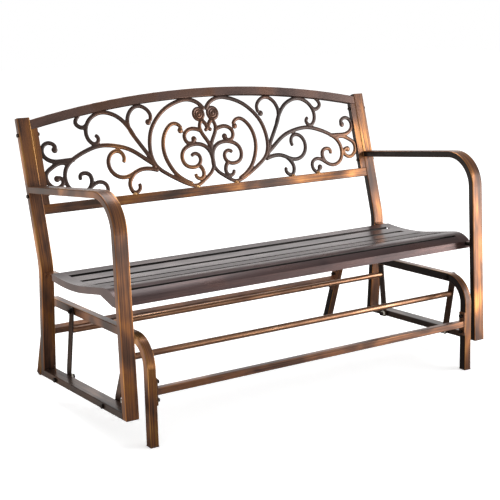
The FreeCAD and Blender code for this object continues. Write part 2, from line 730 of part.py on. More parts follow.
def back_post(name, side):
    """One bent tube: the rear leg below and the leaning post of the backrest above."""
    body = sub_part(name)
    middle = f"{side} * {FRAME_MIDDLE}"
    foot = f"({POST_BOTTOM} - frame_depth)"
    corners = [
        (LOW_POST_AXIS.format(height=foot), foot),
        (KNEE_AT, "knee_height"),
        (POST_AXIS.format(height="post_top"), "post_top"),
    ]
    bent_tube(body, middle, corners, ["knee_bend"], "-post_lean", frame_section)
    cut_level = f"({POST_BOTTOM} + plug_flange)"
    trim(body, middle, box("post_foot", f"{cut_level} - frame_depth * 2", "4 * frame_depth", "4 * frame_depth"))
    low = "back_bolt_height"
    high = "(back_bolt_height + back_bolt_pitch * cos(back_lean))"
    drill_across(body, middle, "2 * frame_width",
                 [(POST_AXIS.format(height=low), low), (POST_AXIS.format(height=high), high)], "bolt_hole")
    drill_along(body, LOW_POST_FRONT.format(height=BRACKET_BOLT_UP), "6 * frame_wall",
                [(middle, BRACKET_BOLT_UP)], "bolt_hole")


def bottom_rail(name, side):
    """A tube between the feet of the leg and the post, falling a little to the rear, cut to their lean."""
    body = sub_part(name)
    middle = f"{side} * {FRAME_MIDDLE}"
    ends = ["leg_foot - frame_depth", "post_foot + frame_depth"]
    bent_tube(body, middle, [(end, RAIL_AXIS.format(along=end)) for end in ends], [], "90 + rail_drop", frame_section)
    low, high = f"({POST_BOTTOM} - frame_depth)", "(rail_bottom + 2 * frame_depth)"
    before, behind = "(leg_foot - 3 * frame_depth)", "(post_foot + 3 * frame_depth)"
    trim(body, middle, [
        (before, low), (LEG_REAR.format(height=low), low), (LEG_REAR.format(height=high), high), (before, high),
    ])
    trim(body, middle, [
        (LOW_POST_FRONT.format(height=low), low), (behind, low), (behind, high),
        (LOW_POST_FRONT.format(height=high), high),
    ])
    drill_across(body, middle, "2 * frame_width",
                 [("front_link_foot", FRONT_FOOT_UP), ("rear_link_foot", REAR_FOOT_UP)], "pivot_hole")


def foot_plugs():
    """Plastic plugs that close the lower ends of the legs and posts."""
    body = sub_part("bench_foot_plugs")
    body.AllowCompound = True
    width = "(frame_width - 2 * frame_wall - 2 * seat_gap)"
    depth = "(frame_depth - 2 * frame_wall - 2 * seat_gap)"
    for _, side in SIDES:
        for axis, lean, bottom in ((LEG_AXIS, "leg_lean", "rail_bottom"), (LOW_POST_AXIS, "post_lean", POST_BOTTOM)):
            level, high = f"({bottom} + plug_flange)", f"({bottom} + plug_flange + plug_depth)"
            flange = sketch_on(body, "YZ_Plane", f"{side} * {FRAME_MIDDLE}")
            outline(flange, box(axis.format(height=level), f"({level} - plug_flange / 2)",
                                f"frame_depth / cos({lean})", "plug_flange"))
            pad(body, flange, "frame_width - 2 * plug_flange")
            plug = sketch_on(body, "YZ_Plane", f"{side} * {FRAME_MIDDLE}")
            outline(plug, [
                (f"{axis.format(height=level)} - {depth} / 2", level),
                (f"{axis.format(height=level)} + {depth} / 2", level),
                (f"{axis.format(height=high)} + {depth} / 2", high),
                (f"{axis.format(height=high)} - {depth} / 2", high),
            ])
            pad(body, plug, width)


def post_caps():
    """Flat caps in the tops of the posts."""
    top = number("post_top")
    place = at(0, number(POST_AXIS.format(height="post_top")), top, -number("back_lean"))
    body = sub_part("post_caps", place)
    body.AllowCompound = True
    for _, side in SIDES:
        middle = f"{side} * {FRAME_MIDDLE}"
        lid = sketch_on(body, "XY_Plane", "plug_flange / 2")
        outline(lid, rounded_box(middle, "0", "frame_width", "frame_depth", "frame_corner"))
        pad(body, lid, "plug_flange")
        plug = sketch_on(body, "XY_Plane", "-plug_depth / 2 + plug_flange / 4")
        outline(plug, box(middle, "0", "frame_width - 2 * frame_wall - 2 * seat_gap",
                          "frame_depth - 2 * frame_wall - 2 * seat_gap"))
        pad(body, plug, "plug_depth + plug_flange / 2")


for side_name, side_sign in SIDES:
    arm_and_leg(f"{side_name}_arm_and_leg", side_sign)
    back_post(f"{side_name}_back_post", side_sign)
    bottom_rail(f"{side_name}_bottom_rail", side_sign)
foot_plugs()
post_caps()

# Seat: two side rails that follow the seat's curve, six slats flush between them, a strap below


def seat_line(rear, front, depth="0"):
    """Corners along the seat's curve from a rear edge to a front edge, lowered by some depth."""
    stops = [rear] + [stop for stop in ("seat_slope_from", "seat_crest_from")
                      if number(front) < number(stop) < number(rear)]
    corners = []
    for stop in stops:
        corner = (stop, f"{seat_top(stop)} - {depth}")
        if number(stop) > number("seat_slope_from"):
            corner += ("-seat_dip_radius",)
        if number(stop) <= number("seat_crest_from"):
            corner += ("seat_crest_radius",)
        corners.append(corner)
    return corners + [(front, f"{seat_top(front)} - {depth}")]


def turned_back(corners):
    """The same line of corners, walked the other way."""
    points = [corner[:2] for corner in corners][::-1]
    radii = [corner[2:] for corner in corners[:-1]][::-1] + [()]
    flipped = [tuple(word[1:] if word.startswith("-") else "-" + word for word in radius) for radius in radii]
    return [point + radius for point, radius in zip(points, flipped)]


def lip():
    """Corners of the lip below the crease, from its front face to its rear one."""
    return [LIP_FOOT, (f"{LIP_FOOT[0]} + seat_sheet", LIP_FOOT[1])]


def side_rail(name, side):
    """A band of sheet along the seat's side, with a skirt on its outer edge."""
    body = sub_part(name)
    band = sketch_on(body, "YZ_Plane", f"{side} * ({SEAT_HALF} - seat_band / 2)")
    lip_rear = "(seat_lip_at + seat_sheet)"
    outline(band, seat_line("seat_rear", "seat_lip_at") + lip()
            + turned_back(seat_line("seat_rear", lip_rear, "seat_sheet")))
    pad(body, band, "seat_band")
    skirt = sketch_on(body, "YZ_Plane", f"{side} * ({SEAT_HALF} - seat_sheet / 2)")
    skirt_front = "(seat_crest_from + side_skirt)"
    outline(skirt, seat_line("seat_rear", "seat_lip_at")
            + [LIP_FOOT, ("seat_lip_at + side_skirt", LIP_FOOT[1])]
            + turned_back(seat_line("seat_rear", skirt_front, "side_skirt")))
    pad(body, skirt, "seat_sheet")
    leg_rear = LEG_REAR.format(height="front_bolt_height")
    drill_along(body, "seat_lip_at", "6 * seat_sheet",
                [(f"{side} * {FRONT_BOLT_AT}", f"front_bolt_height - tan(leg_lean) * (seat_lip_at - {leg_rear})")],
                "bolt_hole")


SLAT_LENGTH = "2 * (" + SEAT_HALF + " - seat_band)"


def rear_edge(rear):
    """Corners of the edge turned down along a slat's rear side."""
    low = f"{seat_top(rear)} - slat_edge"
    return [(f"({rear} - seat_sheet)", low), (rear, low)]


def slat(name, front, rear):
    """A slat: a shallow channel that follows the seat's curve, with its edges turned down."""
    body = sub_part(name)
    sketch = sketch_on(body, "YZ_Plane")
    low = f"{seat_top(front)} - slat_edge"
    inner_rear, inner_front = f"({rear} - seat_sheet)", f"({front} + seat_sheet)"
    outline(sketch, seat_line(rear, front) + [(front, low), (inner_front, low)]
            + turned_back(seat_line(inner_rear, inner_front, "seat_sheet")) + rear_edge(rear))
    pad(body, sketch, SLAT_LENGTH)


def front_slat(name, rear):
    """The front slat, rolled over the crest's front into a creased lip."""
    body = sub_part(name)
    sketch = sketch_on(body, "YZ_Plane")
    inner_rear, inner_front = f"({rear} - seat_sheet)", "(seat_lip_at + seat_sheet)"
    outline(sketch, seat_line(rear, "seat_lip_at") + lip()
            + turned_back(seat_line(inner_rear, inner_front, "seat_sheet")) + rear_edge(rear))
    pad(body, sketch, SLAT_LENGTH)


def centre_strap(front):
    """A flat strap that ties the slats together from below, at the middle."""
    body = sub_part("seat_centre_strap")
    sketch = sketch_on(body, "YZ_Plane")
    high, low = "(slat_edge + strap_gap)", "(slat_edge + strap_gap + strap_thickness)"
    outline(sketch, seat_line("seat_rear", front, high) + turned_back(seat_line("seat_rear", front, low)))
    pad(body, sketch, "strap_width")


def rear_brackets():
    """Angle brackets between the seat's side rails and the posts."""
    body = sub_part("seat_rear_brackets")
    body.AllowCompound = True
    low = f"({BRACKET_TOP} - bracket_height)"
    tongue_end = "(seat_rear - bracket_lap)"
    tongue_up = f"({seat_top(tongue_end)} - seat_sheet - seat_gap)"
    for _, side in SIDES:
        plate = sketch_on(body, "YZ_Plane", f"{side} * {FRAME_MIDDLE}")
        post_high, post_low = LOW_POST_FRONT.format(height=BRACKET_TOP), LOW_POST_FRONT.format(height=low)
        outline(plate, [
            (post_high, BRACKET_TOP), (f"{post_high} - bracket_thickness", BRACKET_TOP),
            (f"{post_low} - bracket_thickness", low), (post_low, low),
        ])
        pad(body, plate, "bracket_width")
        tongue = sketch_on(body, "YZ_Plane", f"{side} * ({SEAT_HALF} - seat_sheet - seat_gap - bracket_width / 2)")
        outline(tongue, [
            (f"{post_high} - bracket_thickness / 2", BRACKET_TOP), ("seat_rear", BRACKET_TOP),
            (tongue_end, tongue_up), (tongue_end, f"{tongue_up} - bracket_thickness"),
            ("seat_rear", f"{BRACKET_TOP} - bracket_thickness"),
            (f"{post_high} - bracket_thickness / 2", f"{BRACKET_TOP} - bracket_thickness"),
        ])
        pad(body, tongue, "bracket_width")
    drill_along(body, LOW_POST_FRONT.format(height=BRACKET_BOLT_UP), "6 * bracket_thickness",
                [(f"-{FRAME_MIDDLE}", BRACKET_BOLT_UP), (FRAME_MIDDLE, BRACKET_BOLT_UP)], "bolt_hole")


def seat_fasteners():
    """Bolts that hold the seat: through the rear brackets into the posts, and the lip into the legs."""
    radius, head = number("bolt_radius"), number("bolt_head")
    nut_bore = radius + number("thread_gap")
    wall, nut_height = number("frame_wall + seat_gap"), number("nut_height")
    bend_reach = number("knee_bend * tan((post_lean + back_lean) / 2) * cos(post_lean)")
    into_bend = max(0, number(f"{BRACKET_BOLT_UP} + bolt_head - knee_height") + bend_reach)
    rear_wall = wall + into_bend ** 2 / (2 * number("knee_bend"))
    leg_rear = number(LEG_REAR.format(height="front_bolt_height"))
    lip_front = number(f"seat_lip_at - ({SEAT_CREASE} - front_bolt_height + seat_spacer_radius)"
                       " * tan(seat_lip_lean)")
    lip_rear = number("seat_lip_at + seat_sheet + seat_gap / 2")
    bolts, nuts, spacers = [], [], []
    for _, side in SIDES:
        rear = at(side * number(FRAME_MIDDLE), number(LOW_POST_FRONT.format(height=BRACKET_BOLT_UP)),
                  number(BRACKET_BOLT_UP), number("post_lean"))
        front = at(side * number(FRONT_BOLT_AT), leg_rear, number("front_bolt_height"), -number("leg_lean"))
        bolts.append(placed(bolt(radius, head, number("bolt_head_height"), -number("bracket_thickness"),
                                 rear_wall + nut_height), rear, TURN_TO_Y))
        nuts.append(placed(hexagon(head, rear_wall, rear_wall + nut_height, nut_bore), rear, TURN_TO_Y))
        bolts.append(placed(bolt(radius, head, number("bolt_head_height"), lip_rear - leg_rear,
                                 -wall - nut_height), front, TURN_TO_Y))
        nuts.append(placed(hexagon(head, -wall - nut_height, -wall, nut_bore), front, TURN_TO_Y))
        spacers.append(placed(ring(number("seat_spacer_radius"), number("bolt_hole"), 0,
                                   lip_front - leg_rear), front, TURN_TO_Y))
    shaped_part("seat_bolts", group(bolts))
    shaped_part("seat_nuts", group(nuts))
    shaped_part("seat_front_spacers", group(spacers))


side_rail("left_seat_rail", -1)
side_rail("right_seat_rail", 1)
slat_rear = "seat_rear"
for count, slat_size, gap_size in ((6, "rear_slat_width", "slat_gap"), (5, "dip_slat_width", "slat_gap"),
                                   (4, "middle_slat_width", "slat_gap"), (3, "rise_slat_width", "crest_gap"),
                                   (2, "crest_slat_width", "front_gap")):
    slat_front = f"({slat_rear} - {slat_size})"
    slat(f"seat_slat_{count}", slat_front, slat_rear)
    slat_rear = f"({slat_front} - {gap_size})"
front_slat("seat_front_slat", slat_rear)
centre_strap(f"({slat_rear} + front_gap)")
rear_brackets()
seat_fasteners()

# Backrest: an arched top rail, a sill and two side bars round a cast scroll panel

ARCH_RADIUS = f"(({FRAME_INNER}^2 + arch_drop^2) / (2 * arch_drop))"
ARCH_CENTRE = f"(arch_rise - {ARCH_RADIUS})"
ARCH_INNER = f"({ARCH_RADIUS} - back_rail_height)"
ARCH_SPARE = "1 deg"


def arch_underside(across):
    """Height of the top rail's underside."""
    return f"({ARCH_CENTRE} + sqrt({ARCH_INNER}^2 - ({across})^2))"


def top_rail():
    """A rectangular tube bent to the arch and cut upright at the posts."""
    body = sub_part("back_top_rail", back_frame)
    sketch = sketch_on(body, "YZ_Plane")
    tube_section(sketch, "0", "arch_rise - back_rail_height / 2", "back_rail_depth", "back_rail_height",
                 "back_rail_corner", "back_rail_wall")
    reach = number("back_rail_depth")
    centre = number(ARCH_CENTRE)
    axis = sketch.addGeometry(Part.LineSegment(Vector(-reach, centre, 0), Vector(reach, centre, 0)), True)
    pin_point(sketch, axis, 1, "-back_rail_depth", ARCH_CENTRE)
    pin_point(sketch, axis, 2, "back_rail_depth", ARCH_CENTRE)
    arch = body.newObject("PartDesign::Revolution", "arch")
    arch.Profile = sketch
    arch.ReferenceAxis = (sketch, ["Axis0"])
    arch.Midplane = True
    arch.setExpression("Angle", formula(f"2 * asin({FRAME_INNER} / {ARCH_INNER}) + {ARCH_SPARE}"))
    ends = sketch_on(body, "XZ_Plane")
    for side in (-1, 1):
        outline(ends, box(f"{side} * ({FRAME_INNER} + 2 * frame_width)", "arch_rise - frame_width * 2",
                          "4 * frame_width", "8 * frame_width"))
    pocket(body, ends, "2 * back_rail_depth")


def sill():
    """A straight rectangular tube below the scroll panel."""
    body = sub_part("back_bottom_rail", back_frame)
    sketch = sketch_on(body, "YZ_Plane")
    tube_section(sketch, "0", "back_sill - back_rail_height / 2", "back_rail_depth", "back_rail_height",
                 "back_rail_corner", "back_rail_wall")
    pad(body, sketch, f"2 * {FRAME_INNER}")


def side_bar(name, side):
    """A bar beside the post, from the sill to the arch, with the bolt holes."""
    body = sub_part(name, back_frame)
    sketch = sketch_on(body, "XZ_Plane")
    outer, inner = FRAME_INNER, f"({FRAME_INNER} - side_bar)"
    corners = [
        (f"{side} * {inner}", "back_sill"), (f"{side} * {outer}", "back_sill"),
        (f"{side} * {outer}", arch_underside(outer)), (f"{side} * {inner}", arch_underside(inner)),
    ]
    outline(sketch, corners if side > 0 else corners[::-1])
    pad(body, sketch, "back_rail_depth")
    drill_across(body, f"{side} * {FRAME_INNER}", "3 * side_bar", [("0", "0"), ("0", "back_bolt_pitch")],
                 "bolt_hole")


def back_fasteners():
    """Bolts through the posts and side bars, with their nuts on the inner faces."""
    face = number(f"{FRAME_INNER} - side_bar")
    nut_end = face - number("nut_height")
    one_bolt = bolt(number("bolt_radius"), number("bolt_head"), number("bolt_head_height"),
                    number("bench_half_width"), nut_end - number("bolt_tip"))
    one_nut = hexagon(number("bolt_head"), nut_end, face, number("bolt_radius + thread_gap"))
    spots = [(height, facing) for height in (0, number("back_bolt_pitch"))
             for facing in (FACE_LEFT, FACE_RIGHT)]
    for kind, shape in (("bolts", one_bolt), ("nuts", one_nut)):
        copies = [placed(shape, back_frame, at(0, 0, height), facing) for height, facing in spots]
        shaped_part(f"back_panel_{kind}", group(copies))


# The scroll panel is traced strand by strand on its right half, as (across, up) from the lower bolts,
# in an opening of the traced half width and height above the traced sill

TRACED_HALF_WIDTH = 577
TRACED_HEIGHT = 284
TRACED_SILL = -29

HEART = [
    [(5, 218), (24, 238), (62, 250), (103, 243), (144, 225), (179, 196), (204, 161), (216, 120),
     (216, 80), (204, 50), (174, 24), (138, 2), (103, -16), (72, -23), (40, -7), (12, 14), (0, 34)],
    [(0, 30), (0, 55), (6, 80), (25, 100), (52, 107), (80, 103), (102, 89), (110, 66), (102, 45),
     (80, 35), (59, 38), (46, 52), (49, 71), (62, 77), (73, 73)],
    [(53, 38), (43, 24), (42, 8), (53, -3), (66, 0), (71, 9)],
    [(92, -15), (114, -3), (139, 18), (157, 46), (169, 80), (170, 112), (160, 145), (143, 167),
     (125, 177), (108, 174), (98, 163)],
    [(0, 60), (0, 90), (8, 112), (22, 135), (29, 155), (22, 178)],
    [(15, 178), (5, 165), (3, 155), (9, 149)],
    [(27, 148), (43, 154), (63, 156), (79, 150), (89, 138), (89, 124), (81, 113), (68, 111), (59, 118)],
]
WING = [
    [(211, 49), (222, 78), (240, 108), (262, 143), (279, 180), (277, 206), (262, 229), (239, 240),
     (213, 232), (198, 211), (200, 195)],
    [(266, 150), (283, 182), (305, 207), (333, 223), (366, 228), (396, 217), (418, 192), (423, 165),
     (413, 142), (398, 135), (386, 146), (391, 159)],
    [(418, 193), (430, 187), (445, 192), (452, 202), (447, 215), (440, 222)],
    [(212, 56), (242, 78), (284, 107), (336, 124), (385, 128), (431, 117), (470, 100), (502, 75),
     (513, 40), (504, 11), (480, -5), (455, -4), (430, 11), (405, 20), (386, 12), (381, -6),
     (392, -23), (409, -14)],
    [(438, 6), (429, 28), (434, 45), (449, 51), (462, 47), (465, 36)],
    [(478, 94), (515, 93), (540, 94), (558, 101), (571, 116), (571, 134), (560, 147), (544, 149),
     (530, 139), (532, 126)],
    [(495, 84), (530, 86), (552, 75), (569, 61), (572, 43), (564, 26), (548, 16), (529, 20),
     (521, 32), (526, 42), (540, 44)],
    [(205, 38), (235, 45), (262, 44), (295, 31), (322, 26), (350, 37), (365, 62), (361, 90),
     (340, 107), (319, 103), (311, 88), (313, 75)],
    [(280, 38), (298, 20), (305, 5), (304, -10), (295, -23), (281, -21), (272, -9), (273, -2)],
]
HEART_BUDS = [(101, 154), (57, 123)]
WING_BUDS = [(209, 188), (411, -10), (532, 128), (539, 42)]
SAMPLES_PER_STRETCH = 3


def panel_point(across, up):
    """A traced point, stretched with the opening that the panel fills."""
    sill_up, crown_up = number("back_sill"), number(arch_underside("0"))
    half_width = number(f"{FRAME_INNER} - side_bar")
    return Vector(across * half_width / TRACED_HALF_WIDTH, 0,
                  sill_up + (up - TRACED_SILL) * (crown_up - sill_up) / TRACED_HEIGHT)


def disc(across, up, radius):
    edge = Part.makeCircle(radius, panel_point(across, up), Vector(0, -1, 0))
    return Part.Face(Part.Wire(edge))


def strand(points):
    """A flat face along a smooth line through the points, thinning to its tip, with round ends."""
    line = Part.BSplineCurve()
    line.interpolate([panel_point(across, up) for across, up in points])
    root, tip = number("strand_root"), number("strand_tip")
    count = SAMPLES_PER_STRETCH * (len(points) - 1)
    first, last = line.FirstParameter, line.LastParameter
    left, right = [], []
    for step in range(count + 1):
        share = step / count
        parameter = first + (last - first) * share
        point = line.value(parameter)
        across = line.tangent(parameter)[0].cross(Vector(0, 1, 0)).normalize()
        half = root + (tip - root) * share
        left.append(point + across * half)
        right.append(point - across * half)
    edges = []
    for side in (left, right[::-1]):
        curve = Part.BSplineCurve()
        curve.interpolate(side)
        edges.append(curve.toShape())
    ahead = line.tangent(last)[0].normalize()
    behind = line.tangent(first)[0].normalize()
    tip_arc = Part.Arc(left[-1], line.value(last) + ahead * tip, right[-1]).toShape()
    root_arc = Part.Arc(right[0], line.value(first) - behind * root, left[0]).toShape()
    return Part.Face(Part.Wire([edges[0], tip_arc, edges[1], root_arc]))


def mirrored(shape):
    return shape.mirror(Vector(), Vector(1, 0, 0))


def panel_opening():
    """The flat opening of the backrest's frame, which the casting fills."""
    across = number(f"{FRAME_INNER} - side_bar")
    low, high = number("back_sill"), number(arch_underside(f"{FRAME_INNER} - side_bar"))
    crown = number(arch_underside("0"))
    corners = [Vector(-across, 0, high), Vector(-across, 0, low), Vector(across, 0, low), Vector(across, 0, high)]
    arch = Part.Arc(corners[3], Vector(0, 0, crown), corners[0]).toShape()
    return Part.Face(Part.Wire([Part.makePolygon(corners), arch]))


def cast_plate(face):
    """A flat outline made as thick as the panel, half to each side."""
    depth = number("scroll_depth")
    plate = face.extrude(Vector(0, depth, 0))
    plate.translate(Vector(0, -depth / 2, 0))
    return plate


def casting_outline(strands, discs):
    """The flat outline of a casting: its strands and discs joined, and trimmed to the panel's opening."""
    faces = [strand(points) for points in strands] + [disc(*spot) for spot in discs]
    return faces[0].multiFuse(faces[1:]).common(panel_opening()).removeSplitter()


def scroll_panel():
    """Three castings that touch where their strands cross: a heart and two wings."""
    bud = number("bud_radius")
    rosette = (number("rosette_at"), number("rosette_height"), number("rosette_radius"))
    heart_outline = casting_outline(HEART, [(*spot, bud) for spot in HEART_BUDS] + [rosette])
    wing_outline = casting_outline(WING, [(*spot, bud) for spot in WING_BUDS]).cut(heart_outline)
    half_heart, wing = cast_plate(heart_outline), cast_plate(wing_outline)
    heart = half_heart.fuse(mirrored(half_heart)).removeSplitter()
    for name, shape in (("scroll_heart", heart), ("left_scroll", mirrored(wing)), ("right_scroll", wing)):
        shaped_part(name, shape, back_frame)


top_rail()
sill()
side_bar("left_side_bar", -1)
side_bar("right_side_bar", 1)
back_fasteners()
scroll_panel()

# Stance: the whole bench leans back on its four feet, with zero below the middle of its outline

stance_angle = -math.degrees(math.atan2(number("rear_foot_rise"), number("rear_foot_reach - base_front")))
doc.recompute()
lean_back = Placement(Vector(), Rotation(Vector(1, 0, 0), stance_angle))
for part in parts:
    part.Placement = lean_back.multiply(part.Placement)
doc.recompute()
whole = FreeCAD.BoundBox()
for part in parts:
    whole.add(part.Shape.optimalBoundingBox())
shift = Placement(Vector(-whole.Center.x, -whole.Center.y, -whole.ZMin), Rotation())
stance = shift.multiply(lean_back)
for part in parts:
    part.Placement = shift.multiply(part.Placement)
doc.recompute()

# Every piece is checked, then written under its own name

for item in doc.Objects:
    if {"Invalid", "Error"} & set(item.State):
        raise ValueError(f"{item.Name} was not made: {item.State}")
for part in parts:
    if part.Shape.isNull() or not part.Shape.isValid():
        raise ValueError(f"{part.Label} has no valid shape")
os.makedirs("parts", exist_ok=True)
for part in parts:
    part.Shape.exportStep(f"parts/{part.Label}.step")
print(len(parts), "sub-parts, overall", [round(length, 1) for length in (whole.XLength, whole.YLength, whole.ZLength)])
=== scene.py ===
import math

import bmesh
import bpy
import numpy as np
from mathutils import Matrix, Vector


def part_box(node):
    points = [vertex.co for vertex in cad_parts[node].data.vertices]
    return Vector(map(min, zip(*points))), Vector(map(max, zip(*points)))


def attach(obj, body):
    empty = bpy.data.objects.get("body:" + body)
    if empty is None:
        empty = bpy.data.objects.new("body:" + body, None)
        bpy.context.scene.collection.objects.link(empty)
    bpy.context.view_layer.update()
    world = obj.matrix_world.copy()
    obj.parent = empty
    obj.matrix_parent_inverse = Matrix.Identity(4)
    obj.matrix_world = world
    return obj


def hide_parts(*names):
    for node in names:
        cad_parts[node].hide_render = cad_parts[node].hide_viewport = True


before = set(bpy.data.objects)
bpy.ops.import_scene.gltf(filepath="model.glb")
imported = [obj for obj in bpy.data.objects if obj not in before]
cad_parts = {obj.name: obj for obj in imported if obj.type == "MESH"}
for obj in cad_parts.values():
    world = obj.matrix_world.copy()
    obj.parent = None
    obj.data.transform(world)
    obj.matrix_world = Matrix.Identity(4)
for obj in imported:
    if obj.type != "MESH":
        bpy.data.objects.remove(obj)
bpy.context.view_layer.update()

# Standing base: two side tubes of 25 mm square steel, each bent twice, joined by two thinner
# crossbars that end in bolted plates. The steel is powder coated dark brown, then rubbed along its
# length with copper paint and lacquered.


def linear(colour):
    """The linear colour of an sRGB hex value such as #7a4b30."""
    shares = [int(colour[i:i + 2], 16) / 255 for i in (1, 3, 5)]
    return [s / 12.92 if s <= 0.04045 else ((s + 0.055) / 1.055) ** 2.4 for s in shares] + [1.0]


def add(tree, kind, settings=None, inputs=None):
    """A node with its own settings, and inputs that are values or other nodes' sockets."""
    node = tree.nodes.new("ShaderNode" + kind)
    for name, value in (settings or {}).items():
        setattr(node, name, value)
    for name, value in (inputs or {}).items():
        if isinstance(value, bpy.types.NodeSocket):
            tree.links.new(value, node.inputs[name])
        else:
            node.inputs[name].default_value = value
    return node


def blank_material(name):
    """A material with no nodes yet."""
    material = bpy.data.materials.new(name)
    material.use_nodes = True
    material.node_tree.nodes.clear()
    return material


def coat(nodes, material):
    """Give the finish to CAD parts, which keep their shape."""
    for name in nodes:
        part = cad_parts[name]
        part.data.materials.clear()
        part.data.materials.append(material)


MM = 0.001
SMOOTH = {"interpolation_type": "SMOOTHSTEP"}

# The cloth leaves copper in thin streaks, and presses harder in some patches than in others.
# Real streaks are about 1 mm wide. They are drawn 3 mm wide, or they wouldn't show in the render.
STREAK_WIDTH, STREAK_LENGTH, STREAK_DETAIL = 3 * MM, 180 * MM, 4.0
PATCH_WIDTH, PATCH_LENGTH, PATCH_DETAIL = 60 * MM, 150 * MM, 2.0
PATCH_SHARE = 0.62
STREAK_WAVER = 0.4
PAINT_RELIEF, PAINT_THICKNESS = 0.15, 0.3 * MM

# Where the pattern is under the first value there is only coat, and over the second only copper
COPPER_FROM, COPPER_ALL = 0.46, 0.62
COAT_METALLIC = (0.5, 0.9)
COAT_ROUGHNESS = (0.4, 0.28)
LACQUER, LACQUER_ROUGHNESS, LACQUER_IOR = 0.35, 0.22, 1.5


def rubbed_copper(name, across, steps, metallic=COAT_METALLIC, roughness=COAT_ROUGHNESS,
                  lacquer=LACQUER, wear_and_shade=None, shift=0.0):
    """Copper paint rubbed over brown powder coat: bright metal streaks in patches, dark coat between.

    The streaks are thin along the axes that across marks. The steps are the colours from bare coat
    to full copper, and metallic and roughness go from the coat's value to the copper's. A function
    given for the wear adds or takes away copper by the way that a face points: wear on corners, and
    painted shade on inner faces and downturned edges. A shift moves the patches elsewhere.
    """
    material = blank_material(name)
    tree = material.node_tree
    place = add(tree, "TexCoord").outputs["Object"]
    patterns = []
    for width, length, detail in ((STREAK_WIDTH, STREAK_LENGTH, STREAK_DETAIL),
                                  (PATCH_WIDTH, PATCH_LENGTH, PATCH_DETAIL)):
        scale = [1 / width if thin else 1 / length for thin in across]
        stretched = add(tree, "Mapping", inputs={
            "Vector": place, "Scale": scale, "Location": (shift, shift, shift)})
        noise = add(tree, "TexNoise", inputs={
            "Vector": stretched.outputs["Vector"], "Scale": 1.0, "Detail": detail,
            "Distortion": STREAK_WAVER})
        patterns.append(noise.outputs["Fac"])
    streaks, patches = patterns
    copper_level = add(tree, "Mix", {"data_type": "FLOAT"}, {
        "Factor": PATCH_SHARE, "A": streaks, "B": patches}).outputs["Result"]
    if wear_and_shade:
        copper_level = wear_and_shade(tree, copper_level)
    ramp = add(tree, "ValToRGB", inputs={"Fac": copper_level})
    stops = ramp.color_ramp.elements
    stops[0].position, stops[0].color = steps[0][0], linear(steps[0][1])
    stops[1].position, stops[1].color = steps[-1][0], linear(steps[-1][1])
    for amount, colour in steps[1:-1]:
        stops.new(amount).color = linear(colour)
    copper = {"Value": copper_level, "From Min": COPPER_FROM, "From Max": COPPER_ALL}
    metal = add(tree, "MapRange", SMOOTH, {**copper, "To Min": metallic[0], "To Max": metallic[1]})
    shine = add(tree, "MapRange", SMOOTH, {**copper, "To Min": roughness[0], "To Max": roughness[1]})
    relief = add(tree, "Bump", inputs={
        "Height": streaks, "Strength": PAINT_RELIEF, "Distance": PAINT_THICKNESS})
    shader = add(tree, "BsdfPrincipled", inputs={
        "Base Color": ramp.outputs["Color"],
        "Metallic": metal.outputs["Result"],
        "Roughness": shine.outputs["Result"],
        "Normal": relief.outputs["Normal"],
        "Coat Weight": lacquer,
        "Coat Roughness": LACQUER_ROUGHNESS,
        "Coat IOR": LACQUER_IOR,
    })
    add(tree, "OutputMaterial", inputs={"Surface": shader.outputs["BSDF"]})
    return material


# Corners gain a little copper as wear; inner faces lose copper, which is painted shade
CORNER_WEAR, INNER_FACE_SHADE = 0.12, -0.3
CORNER_WITHIN, FLAT_BEYOND = 0.3, 0.45
INNER_FACE, OFF_INNER_FACE = -0.98, -0.85


def wear_and_shade_of_side(tree, copper_level):
    """More copper as wear on the rounded corners of a side tube, and painted shade on its inner face.

    The side tubes bend only fore and aft. So the sideways part of a normal is near one half on a
    corner and near nought or one on a flat face, and it points inward on the inner face alone.
    """
    normal = add(tree, "SeparateXYZ", inputs={"Vector": add(tree, "NewGeometry").outputs["Normal"]})
    spot = add(tree, "SeparateXYZ", inputs={"Vector": add(tree, "TexCoord").outputs["Object"]})
    side = add(tree, "Math", {"operation": "SIGN"}, {0: spot.outputs["X"]})
    outward = add(tree, "Math", {"operation": "MULTIPLY"}, {0: side.outputs[0], 1: normal.outputs["X"]})
    sideways = add(tree, "Math", {"operation": "ABSOLUTE"}, {0: normal.outputs["X"]})
    over_half = add(tree, "Math", {"operation": "SUBTRACT"}, {0: sideways.outputs[0], 1: 0.5})
    off_half = add(tree, "Math", {"operation": "ABSOLUTE"}, {0: over_half.outputs[0]})
    corner = add(tree, "MapRange", SMOOTH, {
        "Value": off_half.outputs[0], "From Min": CORNER_WITHIN, "From Max": FLAT_BEYOND,
        "To Min": CORNER_WEAR, "To Max": 0.0})
    inner_shade = add(tree, "MapRange", SMOOTH, {
        "Value": outward.outputs[0], "From Min": INNER_FACE, "From Max": OFF_INNER_FACE,
        "To Min": INNER_FACE_SHADE, "To Max": 0.0})
    more = add(tree, "Math", {"operation": "ADD"}, {0: copper_level, 1: corner.outputs["Result"]})
    copper_worn_and_shaded = add(tree, "Math", {"operation": "ADD"}, {0: more.outputs[0], 1: inner_shade.outputs["Result"]})
    return copper_worn_and_shaded.outputs[0]


ALONG_THE_SIDE = (True, False, False)
ALONG_THE_BENCH = (False, True, True)
BASE_STEPS = [(0.3, "#241a17"), (0.4, "#432b20"), (0.48, "#633f2a"), (0.56, "#94603a"),
              (0.68, "#dba25f")]
BASE_SHIFT = 10.2
BAR_STEPS = [(0.36, "#432d23"), (0.48, "#6b4937"), (0.6, "#9f6f50"), (0.72, "#d5a373")]

